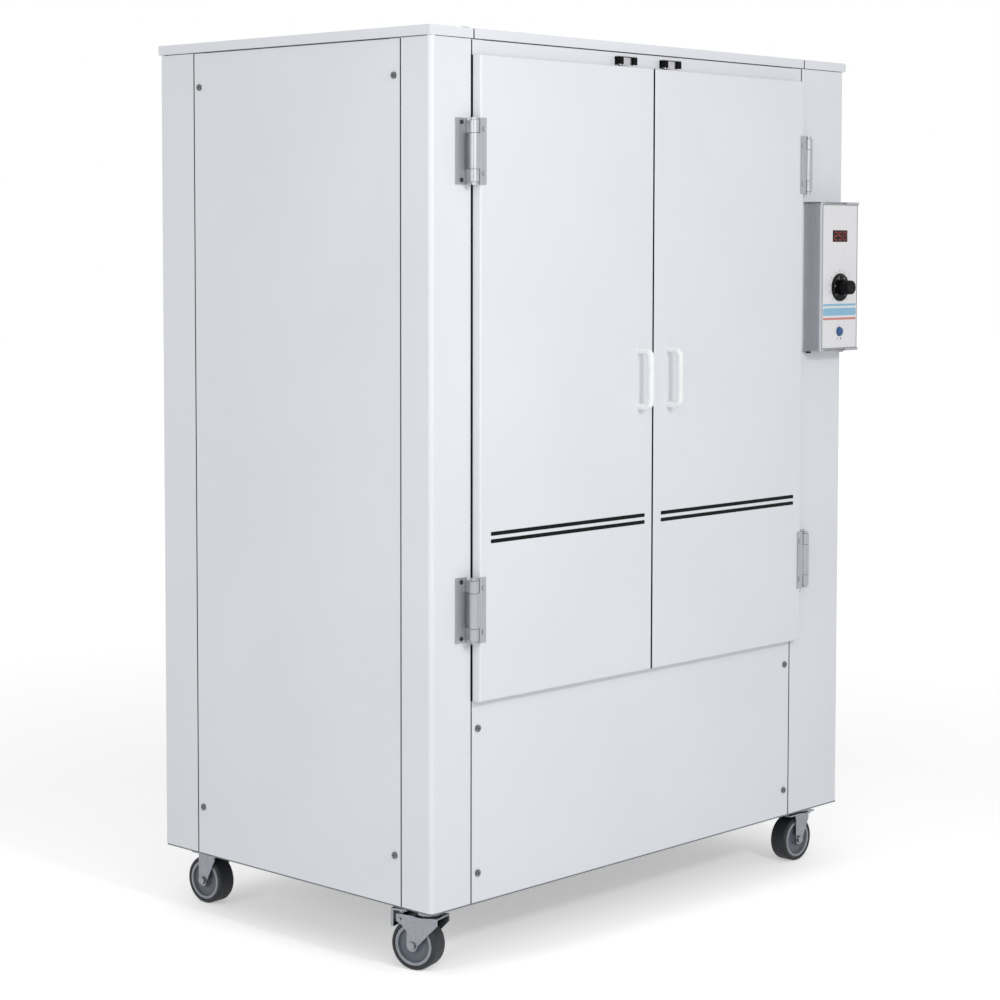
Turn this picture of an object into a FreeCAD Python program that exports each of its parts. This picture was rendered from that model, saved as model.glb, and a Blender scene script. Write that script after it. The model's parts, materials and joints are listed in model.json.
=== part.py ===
"""Laboratory drying oven on casters: a steel cabinet with two doors over one heated chamber.

Millimetres, +Z up, the front faces -Y. The origin lies on the floor under the middle of the whole
object. "Side" words are those of a person who stands in front of the oven.
"""
import FreeCAD, Part
import os
import re
import Sketcher

doc = FreeCAD.newDocument("drying_oven")
sheet = doc.addObject("Spreadsheet::Sheet", "Sizes")

# Driving dimensions: name, value, what it is
SIZES = [
    ("body_width", 1090, "cabinet, outside the posts"),
    ("body_depth", 680, "cabinet, outside the posts"),
    ("body_height", 1400, "cabinet, bottom edge to the underside of the top covers"),
    ("caster_height", 112, "floor to the cabinet's bottom edge"),
    ("sheet_steel", 1.5, "thickness of posts, panels and covers"),
    ("seam", 1.6, "open seam between neighbouring panels"),
    ("post_left", 89, "front face of the left front post"),
    ("post_right", 132, "front face of the right front post beside the doors"),
    ("post_right_low", 154, "front face of the right front post beside the lower panel"),
    ("post_side_front", 69, "side face of the front posts"),
    ("post_side_rear", 91, "side face of the rear posts"),
    ("post_rear", 60, "rear face of the rear posts"),
    ("corner_round", 8, "outer radius of the front posts' fold"),
    ("rear_round", 3, "outer radius of the rear posts' fold"),
    ("lap", 26, "strip behind a panel's edge that the panel is screwed to"),
    ("lap_under", 12, "part of that strip that is welded behind the post"),
    ("panel_drop", 2, "shadow gap between the panels and the top covers"),
    ("cap_height", 16, "height of the top covers"),
    ("cap_side", 4.5, "overhang of the top covers at the sides"),
    ("cap_front", 1.2, "overhang of the top covers at the front"),
    ("cap_rear", 0.7, "overhang of the top covers at the back"),
    ("cap_left", 93, "width of the left top cover from the cabinet's side"),
    ("cap_right", 125, "width of the right top cover from the cabinet's side"),
    ("cap_return", 24, "flange turned in under the top covers"),
    ("door_margin_left", 90, "cabinet's left side to the left door"),
    ("door_margin_right", 150, "right door to the cabinet's right side"),
    ("door_gap", 3, "gap between the two doors"),
    ("door_sill", 333.5, "cabinet's bottom edge to the doors"),
    ("door_headroom", 26, "doors to the underside of the top covers"),
    ("door_stand", 20.6, "door front in front of the cabinet's front"),
    ("door_round", 3, "radius of the door's front edges"),
    ("seal_gap", 3, "gap between the door and the cabinet's front"),
    ("seal_clear", 0.3, "gap between the seal and the closed door"),
    ("seal_width", 16, "width of the seal's band"),
    ("seal_inset", 2.5, "chamber mouth to the seal"),
    ("panel_lap", 12, "lower panel's reach behind the doors"),
    ("header_lap", 7, "header's reach behind the doors"),
    ("mouth_inset", 32, "door edge to the chamber's mouth"),
    ("rear_space", 63.8, "room between the wool behind the chamber and the cabinet's back"),
    ("liner_sheet", 1.2, "thickness of the stainless liner"),
    ("insulation", 45, "thickness of the mineral wool round the chamber"),
    ("insulation_front", 8, "cabinet front to the mineral wool"),
    ("plug_depth", 25, "door plug inside the chamber's mouth"),
    ("plug_clear", 6, "door plug to the chamber's mouth"),
    ("plug_meeting", 12, "door plug to the door's free edge"),
    ("hinge_out", 14, "hinge axis beside the door's edge"),
    ("hinge_stand", 20, "hinge axis in front of the cabinet's front"),
    ("hinge_height", 106, "height of a hinge"),
    ("hinge_low", 484, "cabinet's bottom edge to the middle of the lower hinges"),
    ("hinge_high", 180, "middle of the upper hinges to the underside of the top covers"),
    ("hinge_barrel", 8, "radius of a hinge's barrel"),
    ("hinge_pin", 4, "radius of a hinge pin"),
    ("hinge_fit", 0.06, "radial play of a hinge pin"),
    ("hinge_finial", 5.5, "radius of a hinge pin's ends"),
    ("hinge_finial_height", 4, "height of a hinge pin's ends"),
    ("knuckle", 19.5, "height of the frame leaf's knuckles"),
    ("knuckle_inset", 4.5, "end of a leaf to its outer knuckle"),
    ("knuckle_gap", 0.8, "gap between neighbouring knuckles"),
    ("leaf_sheet", 2.5, "thickness of a hinge leaf"),
    ("leaf_frame", 23.5, "hinge axis to the frame leaf's far edge"),
    ("leaf_door", 24.5, "hinge axis to the door leaf's far edge"),
    ("leaf_notch", 10, "hinge axis to the door leaf's plate"),
    ("leaf_web", 3, "thickness of the web that carries a frame knuckle"),
    ("leaf_screw_frame", 46, "frame leaf's screws above and below its middle"),
    ("leaf_screw_door", 35.5, "door leaf's screws above and below its middle"),
    ("handle_pitch", 96, "distance between a handle's feet"),
    ("handle_radius", 5.5, "radius of a handle's rod"),
    ("handle_bend", 12, "bend radius of a handle's rod"),
    ("handle_reach", 34, "outside of a handle in front of the door"),
    ("handle_height", 842, "cabinet's bottom edge to the middle of the handles"),
    ("handle_inset", 37, "door's free edge to the handle"),
    ("catch_inset", 57, "door's free edge to the middle of its catch"),
    ("catch_width", 48, "width of a catch's bracket"),
    ("catch_height", 15, "height of a catch"),
    ("catch_rise", 3, "door top to the catch"),
    ("catch_sheet", 1, "thickness of a catch's bracket"),
    ("catch_reach", 12, "catch bracket in front of the cabinet's front"),
    ("roller_radius", 6, "radius of a catch roller"),
    ("roller_pin", 1.5, "radius of a catch roller's pin"),
    ("roller_head", 3, "radius of that pin's head"),
    ("roller_stand", 8, "roller axis in front of the cabinet's front"),
    ("roller_fit", 0.06, "radial play of a catch roller"),
    ("strike_width", 22, "width of a strike's tongue"),
    ("strike_depth", 5, "thickness of a strike's tongue"),
    ("strike_play", 0.6, "gap between a strike and each roller"),
    ("strike_base", 26, "width of a strike's foot"),
    ("strike_foot", 2, "thickness of a strike's foot"),
    ("control_margin", 4, "control box to the cabinet's right side"),
    ("control_width", 117, "width of the control box"),
    ("control_drop", 14.5, "upper hinges' lower end to the top of the control box"),
    ("control_height", 279, "height of the control box"),
    ("control_depth", 41, "depth of the control box"),
    ("control_wall", 2, "wall of the control box"),
    ("control_front_wall", 3.5, "front wall of the control box"),
    ("control_round", 4, "radius of the control box's front edges"),
    ("control_cap", 5, "thickness of the control box's end caps"),
    ("control_cap_lip", 1.5, "end caps beyond the control box"),
    ("control_groove", 1.6, "width of the control box's flutes"),
    ("control_groove_pitch", 4, "distance between the flutes"),
    ("control_slot_width", 66, "width of the slots in the end caps' front edges"),
    ("control_slot_height", 2.4, "height of those slots"),
    ("control_slot_depth", 4, "depth of those slots"),
    ("control_slot_inset", 10, "left side of the control box to those slots"),
    ("panel_margin", 4, "control box edge to its front panel"),
    ("panel_sheet", 2, "thickness of the front panel"),
    ("panel_ledge", 4, "ledge that the front panel sits on"),
    ("panel_play", 0.2, "gap round pieces let into the front panel"),
    ("display_width", 46, "width of the display window"),
    ("display_height", 21.5, "height of the display window"),
    ("display_rise", 215.5, "bottom of the control box to the middle of the display"),
    ("knob_rise", 119.5, "bottom of the control box to the middle of the knob"),
    ("knob_skirt", 26, "radius of the knob's skirt"),
    ("knob_skirt_height", 3, "height of the knob's skirt"),
    ("knob_grip", 14, "radius of the knob's grip at its root"),
    ("knob_grip_end", 13, "radius of the knob's grip at its end"),
    ("knob_height", 28, "height of the knob"),
    ("knob_bevel", 1, "bevel of the knob's edges"),
    ("knob_flutes", 18, "number of flutes round the knob's grip"),
    ("knob_flute", 1.3, "radius of a flute"),
    ("knob_gap", 0.6, "gap between the knob and the front panel"),
    ("knob_shaft", 3, "radius of the knob's shaft"),
    ("knob_shaft_length", 16, "length of the knob's shaft"),
    ("shaft_fit", 0.06, "radial play of the shafts"),
    ("switch_rise", 36.5, "bottom of the control box to the middle of the switch"),
    ("switch_radius", 8.8, "radius of the rocker switch's drum"),
    ("switch_reach", 4.5, "middle of the rocker switch in front of its axis"),
    ("switch_back", 3, "radius of the rocker switch's round back"),
    ("switch_tilt", 16, "angle between the two halves of the rocker's face, and its travel, in degrees"),
    ("switch_play", 0.3, "gap round the rocker switch"),
    ("gland_radius", 5, "radius of the cable glands under the control box"),
    ("gland_height", 4, "height of those glands"),
    ("gland_pitch", 102, "distance between those glands"),
    ("gland_out", 7.5, "those glands in front of the cabinet's front"),
    ("mains_radius", 11, "radius of the mains gland"),
    ("mains_stub", 8, "radius of the mains gland's thread"),
    ("mains_bore", 4.5, "radius of the mains gland's bore"),
    ("mains_reach", 22, "mains gland behind the cabinet"),
    ("mains_rise", 120, "cabinet's bottom edge to the mains gland"),
    ("mains_inset", 160, "mains gland to the cabinet's right side"),
    ("vent_length", 120, "length of the rear vents"),
    ("vent_height", 6, "height of the rear vents"),
    ("vent_pitch", 18, "distance between the rear vents"),
    ("vent_low", 90, "cabinet's bottom edge to the lowest vent"),
    ("screw_inset", 14, "panel edge to its screws"),
    ("screw_head", 5.6, "radius of a panel screw's head"),
    ("screw_head_height", 2.4, "height of a panel screw's head"),
    ("leaf_head", 3.6, "radius of a hinge screw's head"),
    ("leaf_head_height", 1.6, "height of a hinge screw's head"),
    ("screw_radius", 2, "radius of a screw"),
    ("screw_length", 6, "length of a screw under its head"),
    ("screw_play", 0.1, "radial play of a screw in its holes"),
    ("side_screw_low", 82, "cabinet's bottom edge to the lower screws of the side panels"),
    ("side_screw_high", 60, "upper screws of the side panels to the top covers"),
    ("front_screw_low", 48, "cabinet's bottom edge to the lower panel's lower screws"),
    ("front_screw_high", 47, "lower panel's upper screws to the doors"),
    ("deck_sheet", 2, "thickness of the deck that carries the chamber"),
    ("pan_sheet", 3, "thickness of the base frame's floor"),
    ("rail_width", 60, "width of the base frame's rails"),
    ("rail_height", 40, "height of the base frame's rails"),
    ("rail_wall", 2, "wall of the base frame's rails"),
    ("shelf_count", 3, "number of wire shelves"),
    ("shelf_first", 150, "chamber floor to the lowest shelf"),
    ("shelf_pitch", 255, "distance between shelves"),
    ("shelf_front", 45, "cabinet front to the shelves"),
    ("shelf_rear", 15, "shelves to the chamber's rear wall"),
    ("shelf_rim", 3, "radius of a shelf's rim rod"),
    ("shelf_wire", 1.75, "radius of a shelf's wires"),
    ("shelf_wire_pitch", 30, "distance between a shelf's wires"),
    ("shelf_play", 2, "shelf to the uprights"),
    ("upright_width", 24, "width of a shelf upright"),
    ("upright_depth", 10, "depth of a shelf upright"),
    ("upright_inset", 80, "shelf upright to the shelf's front and rear edge"),
    ("clip_reach", 14, "shelf clip in front of its upright"),
    ("clip_height", 4, "height of a shelf clip"),
    ("clip_play", 0.1, "gap between a shelf and its clips"),
    ("plenum_height", 62, "chamber floor to the top of the fan cover"),
    ("plenum_side", 3, "fan cover to the chamber's side walls"),
    ("plenum_slot", 70, "length of the fan cover's slots"),
    ("plenum_slot_width", 8, "width of the fan cover's slots"),
    ("plenum_slot_pitch", 26, "distance between the fan cover's slots"),
    ("fan_radius", 105, "radius of the fan"),
    ("fan_hub", 16, "radius of the fan's hub"),
    ("fan_plate", 1.5, "thickness of the fan's plate"),
    ("fan_height", 34, "height of the fan"),
    ("fan_lift", 10, "chamber floor to the fan"),
    ("fan_blades", 10, "number of fan blades"),
    ("fan_root", 45, "inner radius of the fan's blades"),
    ("fan_shaft", 5, "radius of the fan's shaft"),
    ("fan_shaft_play", 3, "gap round the fan's shaft in the chamber floor"),
    ("fan_shaft_seat", 30, "length of the fan's shaft inside the motor"),
    ("motor_radius", 58, "radius of the fan motor"),
    ("motor_height", 105, "height of the fan motor"),
    ("motor_flange", 75, "radius of the fan motor's flange"),
    ("motor_flange_sheet", 5, "thickness of the fan motor's flange"),
    ("heater_ring", 150, "radius of the heater's ring"),
    ("heater_radius", 4.25, "radius of the heater's tube"),
    ("heater_lift", 28, "chamber floor to the heater's ring"),
    ("heater_gap", 24, "opening of the heater's ring in degrees"),
    ("heater_sleeve", 6, "radius of the sleeves on the heater's ends"),
    ("heater_tail", 30, "heater's ends below the deck"),
    ("heater_play", 0.3, "gap round the heater's sleeves"),
    ("probe_radius", 3, "radius of the temperature probe"),
    ("probe_inside", 60, "temperature probe inside the chamber"),
    ("probe_drop", 12, "chamber ceiling to the temperature probe"),
    ("probe_head", 7, "radius of the temperature probe's head"),
    ("probe_head_length", 14, "length of the temperature probe's head"),
    ("probe_side", 120, "temperature probe beside the exhaust"),
    ("exhaust_radius", 31.5, "outer radius of the exhaust collar"),
    ("exhaust_wall", 3.5, "wall of the exhaust collar"),
    ("exhaust_reach", 56, "exhaust collar above the top covers"),
    ("spigot_radius", 30, "radius of the collar's end, which takes a duct"),
    ("spigot_length", 20, "length of the collar's end"),
    ("exhaust_inset", 100, "exhaust to the chamber's rear wall"),
    ("exhaust_fit", 0.2, "gap round the exhaust collar"),
    ("damper_play", 0.6, "gap round the exhaust damper"),
    ("damper_stand", 2, "gap between the damper's lever and the collar"),
    ("damper_sheet", 2, "thickness of the exhaust damper"),
    ("damper_rise", 15, "top covers to the damper's spindle"),
    ("damper_spindle", 2.5, "radius of the damper's spindle"),
    ("damper_lever", 19, "length of the damper's lever"),
    ("damper_lever_width", 9, "width of the damper's lever"),
    ("caster_side", 50, "front casters' pivot to the cabinet's side"),
    ("caster_side_rear", 70, "rear casters' pivot to the cabinet's side"),
    ("caster_front", 57, "front casters' pivot to the cabinet's front"),
    ("caster_rear", 61, "rear casters' pivot to the cabinet's back"),
    ("plate_side", 66, "side of a caster's square plate"),
    ("plate_sheet", 4, "thickness of a caster's plate"),
    ("plate_bolt", 24, "caster bolts beside, in front of and behind the pivot"),
    ("bolt_radius", 4, "radius of a caster bolt"),
    ("bolt_head", 6.5, "radius of a caster bolt's head"),
    ("bolt_head_height", 4, "height of a caster bolt's head"),
    ("bolt_length", 11, "length of a caster bolt under its head"),
    ("race_radius", 21, "radius of a caster's ball race"),
    ("race_height", 11.5, "height of a caster's ball race"),
    ("race_neck", 15, "radius of the neck under a ball race"),
    ("race_neck_height", 1.6, "height of that neck"),
    ("race_gap", 0.4, "gap between the ball race and the fork"),
    ("kingpin", 6, "radius of a caster's kingpin"),
    ("kingpin_nut", 10, "radius of a kingpin's nut"),
    ("kingpin_nut_height", 4, "height of a kingpin's nut"),
    ("kingpin_fit", 0.08, "radial play of a kingpin"),
    ("fork_sheet", 2.5, "thickness of a caster's fork"),
    ("fork_width", 42, "width of a caster's fork"),
    ("fork_crown", 27, "radius of a fork's crown"),
    ("fork_front", 27, "braked fork's leg in front of the pivot"),
    ("fork_slim", 9, "other forks' leg in front of the pivot"),
    ("fork_rear", 50, "braked fork's leg behind the pivot"),
    ("fork_crown_rear", 33, "braked fork's crown behind the pivot"),
    ("fork_cover", 48, "other forks' crown behind the pivot"),
    ("fork_knee_drop", 12, "fork's top to its knee"),
    ("fork_heel_drop", 12, "fork's top to its heel"),
    ("fork_hollow_drop", 27, "fork's top to the hollow under its heel"),
    ("fork_foot", 10, "radius of the fork's end round the axle"),
    ("caster_trail", 20, "axle behind the pivot"),
    ("wheel_radius", 42, "radius of a wheel"),
    ("wheel_width", 35, "width of a wheel"),
    ("wheel_shoulder", 4, "rounding of a tyre"),
    ("wheel_rim", 35, "radius of a wheel's hub"),
    ("wheel_ring", 29, "inner radius of a hub's ring"),
    ("wheel_dish", 5, "depth of a hub's dish"),
    ("wheel_slope", 2, "slope at both edges of a hub's dish"),
    ("wheel_lip", 1, "step from the tyre's side down to the hub's ring"),
    ("wheel_boss", 11, "radius of a hub's boss"),
    ("wheel_play", 1, "gap between a hub's boss and the fork"),
    ("axle_radius", 4, "radius of an axle"),
    ("axle_head", 6.5, "radius of an axle's head"),
    ("axle_head_height", 4, "height of an axle's head"),
    ("axle_fit", 0.06, "radial play of a wheel on its axle"),
    ("brake_pin", 2.5, "radius of a brake pedal's pin"),
    ("brake_pin_drop", 8, "fork's top to the brake pedal's pin"),
    ("brake_pin_back", 43, "brake pedal's pin behind the pivot"),
    ("brake_width", 30, "width of a brake pedal"),
    ("brake_sheet", 3, "thickness of a brake pedal"),
    ("brake_rise", 3.5, "brake pedal above the fork"),
    ("brake_front", 34, "brake pedal's front edge behind the pivot"),
    ("brake_rear", 64, "brake pedal's rear edge behind the pivot"),
    ("brake_shoe", 5, "thickness of a brake shoe"),
    ("brake_shoe_drop", 24, "fork's top to the end of the brake shoe"),
    ("brake_boss", 7, "thickness of a brake pedal's boss"),
    ("brake_boss_drop", 11.6, "fork's top to the end of the boss"),
    ("turn_front_left", 15, "front left caster's heading in degrees"),
    ("turn_front_right", 90, "front right caster's heading in degrees"),
    ("turn_rear", 4, "rear casters' heading in degrees"),
]

for row, (alias, size, note) in enumerate(SIZES, start=1):
    sheet.set(f"A{row}", alias)
    sheet.set(f"B{row}", str(size))
    sheet.set(f"C{row}", note)
    sheet.setAlias(f"B{row}", alias)
doc.recompute()

# Places that follow from the driving dimensions
FORMULAS = {
    "left": "-body_width/2",
    "right": "body_width/2",
    "front": "(control_depth + knob_gap + knob_height - mains_reach - body_depth)/2",
    "rear": "front + body_depth",
    "bottom": "caster_height",
    "top": "caster_height + body_height",
    "cap_top": "top + cap_height",
    "door_left": "left + door_margin_left",
    "door_right": "right - door_margin_right",
    "door_width": "(door_right - door_left - door_gap)/2",
    "door_bottom": "bottom + door_sill",
    "door_top": "top - door_headroom",
    "door_front": "front - door_stand",
    "door_back": "front - seal_gap",
    "door_depth": "door_stand - seal_gap",
    "panel_left": "left + post_left + seam",
    "panel_right": "right - post_right_low - seam",
    "header_right": "right - post_right - seam",
    "lower_top": "door_bottom + panel_lap",
    "header_low": "door_top - header_lap",
    "panel_top": "top - panel_drop",
    "mouth_left": "door_left + mouth_inset",
    "mouth_right": "door_right - mouth_inset",
    "mouth_low": "door_bottom + mouth_inset",
    "mouth_high": "door_top - mouth_inset",
    "mouth_width": "mouth_right - mouth_left",
    "mouth_height": "mouth_high - mouth_low",
    "mouth_middle": "(mouth_left + mouth_right)/2",
    "chamber_depth": "body_depth - rear_space - insulation - liner_sheet",
    "chamber_rear": "front + chamber_depth",
    "wool_low": "mouth_low - liner_sheet - insulation",
    "wool_rear": "chamber_rear + liner_sheet + insulation",
    "inside": "2*sheet_steel",
    "hinge_line": "front - hinge_stand",
    "hinge_low_start": "bottom + hinge_low - hinge_height/2",
    "hinge_high_start": "top - hinge_high - hinge_height/2",
    "handle_line": "door_front - handle_reach + handle_radius",
    "catch_low": "door_top + catch_rise",
    "roller_spread": "strike_width/2 + strike_play + roller_radius",
    "roller_height": "catch_height - 2*catch_sheet - 2*seal_clear",
    "control_left": "right - control_margin - control_width",
    "control_middle": "right - control_margin - control_width/2",
    "control_bottom": "hinge_high_start - control_drop - control_height",
    "control_front": "front - control_depth",
    "display_z": "control_bottom + display_rise",
    "knob_z": "control_bottom + knob_rise",
    "switch_z": "control_bottom + switch_rise",
    "fan_y": "front + (shelf_front + chamber_depth)/2",
    "deck_low": "wool_low - deck_sheet",
    "fan_low": "mouth_low + fan_lift",
    "shelf_left": "mouth_left + upright_depth + shelf_play",
    "shelf_width": "mouth_width - 2*upright_depth - 2*shelf_play",
    "shelf_start": "front + shelf_front",
    "shelf_depth": "chamber_depth - shelf_front - shelf_rear",
    "exhaust_y": "chamber_rear - exhaust_inset",
    "probe_z": "mouth_high - probe_drop",
    "plate_low": "bottom - pan_sheet - plate_sheet",
    "fork_top": "plate_low - race_height - race_neck_height - race_gap",
    "brake_pin_z": "fork_top - brake_pin_drop",
}

ALIASES = {alias for alias, _, _ in SIZES}


def formula(text):
    """Write a size out in the sheet's own cells."""
    def spell(match):
        word = match.group(0)
        if word in FORMULAS:
            return f"({formula(FORMULAS[word])})"
        return f"Sizes.{word}" if word in ALIASES else word
    return re.sub(r"[A-Za-z_]\w*", spell, str(text))


def value(text):
    """The number that a size has now."""
    return float(sheet.evalExpression(formula(text)))


def bind(thing, **sizes):
    """Tie properties of an object to sizes."""
    for name, text in sizes.items():
        thing.setExpression(name, formula(text))


def place(thing, at, turn=None):
    """Tie an object's place, and its heading about Z if one is given, to sizes."""
    for axis, text in zip("xyz", at):
        thing.setExpression(f"Placement.Base.{axis}", formula(text))
    if turn is not None:
        thing.setExpression("Placement.Rotation.Angle", formula(turn))
    return thing


# Basic solids
ALONG = {
    "X": FreeCAD.Rotation(FreeCAD.Vector(0, 1, 0), 90),
    "Y": FreeCAD.Rotation(FreeCAD.Vector(1, 0, 0), -90),
    "Z": FreeCAD.Rotation(),
}


def box(name, size, at):
    """A block from its low corner."""
    block = doc.addObject("Part::Box", name)
    bind(block, Length=size[0], Width=size[1], Height=size[2])
    return place(block, at)


def rod(name, radius, length, at, along="Z"):
    """A round bar from the middle of its first end."""
    bar = doc.addObject("Part::Cylinder", name)
    bar.Placement = FreeCAD.Placement(FreeCAD.Vector(), ALONG[along])
    bind(bar, Radius=radius, Height=length)
    return place(bar, at)


def ball(name, radius, at):
    """A sphere from its middle."""
    sphere = doc.addObject("Part::Sphere", name)
    bind(sphere, Radius=radius)
    return place(sphere, at)


def fuse(name, *pieces):
    """One solid from pieces that meet."""
    joined = doc.addObject("Part::MultiFuse", name)
    joined.Shapes = list(pieces)
    joined.Refine = True
    return joined


def cut(name, base, *tools):
    """A solid less its cut-outs."""
    carved = doc.addObject("Part::Cut", name)
    carved.Base = base
    carved.Tool = tools[0] if len(tools) == 1 else group(f"{name}_cuts", tools)
    return carved


def group(name, pieces):
    """Separate solids kept together."""
    together = doc.addObject("Part::Compound", name)
    together.Links = list(pieces)
    return together


def round_edges(name, base, radius, chosen):
    """Round the edges that a test picks."""
    doc.recompute()
    size = value(radius)
    rounded = doc.addObject("Part::Fillet", name)
    rounded.Base = base
    picked = [n for n, edge in enumerate(base.Shape.Edges, start=1) if chosen(edge)]
    rounded.Edges = [(n, size, size) for n in picked]
    return rounded


NEAR = 0.01
PARALLEL = 0.999


def runs(edge, axis):
    """Whether an edge is straight and parallel to an axis."""
    if not isinstance(edge.Curve, Part.Line):
        return False
    return abs(edge.Curve.Direction.dot(FreeCAD.Vector(*axis))) > PARALLEL


def outline(body, name, plane, points):
    """Draw a closed outline on one of a body's planes, with each corner tied to its two sizes."""
    drawing = body.newObject("Sketcher::SketchObject", name)
    origin = next(item for item in body.Origin.OriginFeatures if item.Role == plane)
    drawing.AttachmentSupport = [(origin, "")]
    drawing.MapMode = "FlatFace"
    corners = [FreeCAD.Vector(value(across), value(up), 0) for across, up in points]
    count = len(corners)
    for n, corner in enumerate(corners):
        drawing.addGeometry(Part.LineSegment(corner, corners[(n + 1) % count]))
    for n in range(count):
        drawing.addConstraint(Sketcher.Constraint("Coincident", n, 2, (n + 1) % count, 1))
    for n, texts in enumerate(points):
        for kind, text in zip(("DistanceX", "DistanceY"), texts):
            held = Sketcher.Constraint(kind, -1, 1, n, 1, value(text))
            index = drawing.addConstraint(held)
            drawing.setExpression(f"Constraints[{index}]", formula(text))
    return drawing


def turned(name, points, axis, at, turn=None):
    """A turned piece: its half profile on the XY plane, spun about the X or the Y axis."""
    body = doc.addObject("PartDesign::Body", name)
    profile = outline(body, f"{name}_profile", "XY_Plane", points)
    spin = body.newObject("PartDesign::Revolution", f"{name}_spin")
    spin.Profile = profile
    spin.ReferenceAxis = (profile, ["H_Axis" if axis == "X" else "V_Axis"])
    spin.Angle = 360
    return place(body, at, turn)


def plate(name, plane, points, thickness, at, turn=None):
    """A flat piece: its outline on a plane, padded to both sides of it."""
    body = doc.addObject("PartDesign::Body", name)
    profile = outline(body, f"{name}_profile", plane, points)
    pad = body.newObject("PartDesign::Pad", f"{name}_pad")
    pad.Profile = profile
    pad.Midplane = True
    bind(pad, Length=thickness)
    return place(body, at, turn)


SUBPARTS = []


def subpart(label, thing):
    """Name a finished piece, or group of like pieces, for its file."""
    thing.Label = label
    SUBPARTS.append(thing)
    return thing


# Screws
OUTWARD = {"left": ("X", -1), "right": ("X", 1), "front": ("Y", -1), "rear": ("Y", 1), "under": ("Z", -1)}


def step(at, axis, distance):
    """A place moved along an axis."""
    moved = list(at)
    index = "XYZ".index(axis)
    moved[index] = f"{moved[index]} + ({distance})"
    return tuple(moved)


# Head sizes of the screws in the hinge leaves
LEAF_HEAD = ("leaf_head", "leaf_head_height")


def screw(name, at, face, head="screw_head", head_height="screw_head_height", shank="screw_radius",
          length="screw_length"):
    """A screw whose head sits on a face at a place, with its shank pointing into the piece."""
    axis, sign = OUTWARD[face]
    head_at = at if sign > 0 else step(at, axis, f"-({head_height})")
    shank_at = at if sign < 0 else step(at, axis, f"-({length})")
    top = rod(f"{name}_head", head, head_height, head_at, axis)
    stem = rod(f"{name}_shank", shank, length, shank_at, axis)
    return fuse(name, top, stem)


def screw_hole(name, at, face, shank="screw_radius", length="screw_length", play="screw_play"):
    """The hole that a screw's shank needs, longer than the shank at both ends."""
    axis, sign = OUTWARD[face]
    start = step(at, axis, f"-({length})" if sign < 0 else f"-2*({length})")
    return rod(name, f"{shank} + {play}", f"3*({length})", start, axis)


# Where the panels are screwed on
FRONT_SCREWS = [
    (across, "front", up)
    for across in ("panel_left + screw_inset", "panel_right - screw_inset")
    for up in ("bottom + front_screw_low", "door_bottom - front_screw_high")
]
SIDE_SCREW_PLACES = [
    (along, up)
    for along in ("front + post_side_front + seam + screw_inset",
                  "rear - post_side_rear - seam - screw_inset")
    for up in ("bottom + side_screw_low", "top - side_screw_high")
]
LEFT_SCREWS = [("left", along, up) for along, up in SIDE_SCREW_PLACES]
RIGHT_SCREWS = [("right", along, up) for along, up in SIDE_SCREW_PLACES]
REAR_SCREWS = [
    (across, "rear", up)
    for across in ("left + post_rear + seam + screw_inset", "right - post_rear - seam - screw_inset")
    for up in ("bottom + side_screw_low", "bottom + body_height/2", "top - side_screw_high")
]
PANEL_SCREWS = {"front": FRONT_SCREWS, "left": LEFT_SCREWS, "right": RIGHT_SCREWS, "rear": REAR_SCREWS}


def panel_holes(name, *faces):
    """Holes for all screws of the panels on some faces of the cabinet."""
    return [
        screw_hole(f"{name}_{face}_{n}", spot, face)
        for face in faces
        for n, spot in enumerate(PANEL_SCREWS[face])
    ]


# Cabinet posts
def fold_edges(name, base, x, y):
    """Round a post's fold outside at x, y and inside it."""
    radius = "corner_round" if y == "front" else "rear_round"

    def near(edge, across, along):
        spot = edge.CenterOfMass
        return runs(edge, (0, 0, 1)) and abs(spot.x - across) < NEAR and abs(spot.y - along) < NEAR
    inward_x = value(x) + value("sheet_steel") * (1 if value(x) < 0 else -1)
    inward_y = value(y) + value("sheet_steel") * (1 if y == "front" else -1)
    inner = round_edges(f"{name}_inner_fold", base, f"{radius} - sheet_steel",
                        lambda edge: near(edge, inward_x, inward_y))
    return round_edges(f"{name}_fold", inner, radius, lambda edge: near(edge, value(x), value(y)))


def post_face(name, side, end, width, low, height, under="lap_under"):
    """A post's front or rear face with the strip behind its edge."""
    x = "left" if side == "left" else f"right - {width}"
    y = "front" if end == "front" else "rear - sheet_steel"
    strip_x = f"left + {width} - ({under})" if side == "left" else f"right - {width} - lap"
    strip_y = "front + sheet_steel" if end == "front" else "rear - 2*sheet_steel"
    face = box(f"{name}_face", (width, "sheet_steel", height), (x, y, low))
    strip = box(f"{name}_strip", (f"lap + {under}", "sheet_steel", height), (strip_x, strip_y, low))
    return [face, strip]


def post_side(name, side, end, width):
    """A post's side face with the strip behind its edge."""
    x = "left" if side == "left" else "right - sheet_steel"
    y = "front" if end == "front" else f"rear - {width}"
    strip_x = "left + sheet_steel" if side == "left" else "right - 2*sheet_steel"
    strip_y = f"front + {width} - lap_under" if end == "front" else f"rear - {width} - lap"
    face = box(f"{name}_side", ("sheet_steel", width, "body_height"), (x, y, "bottom"))
    strip = box(f"{name}_side_strip", ("sheet_steel", "lap + lap_under", "body_height"),
                (strip_x, strip_y, "bottom"))
    return [face, strip]


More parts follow.
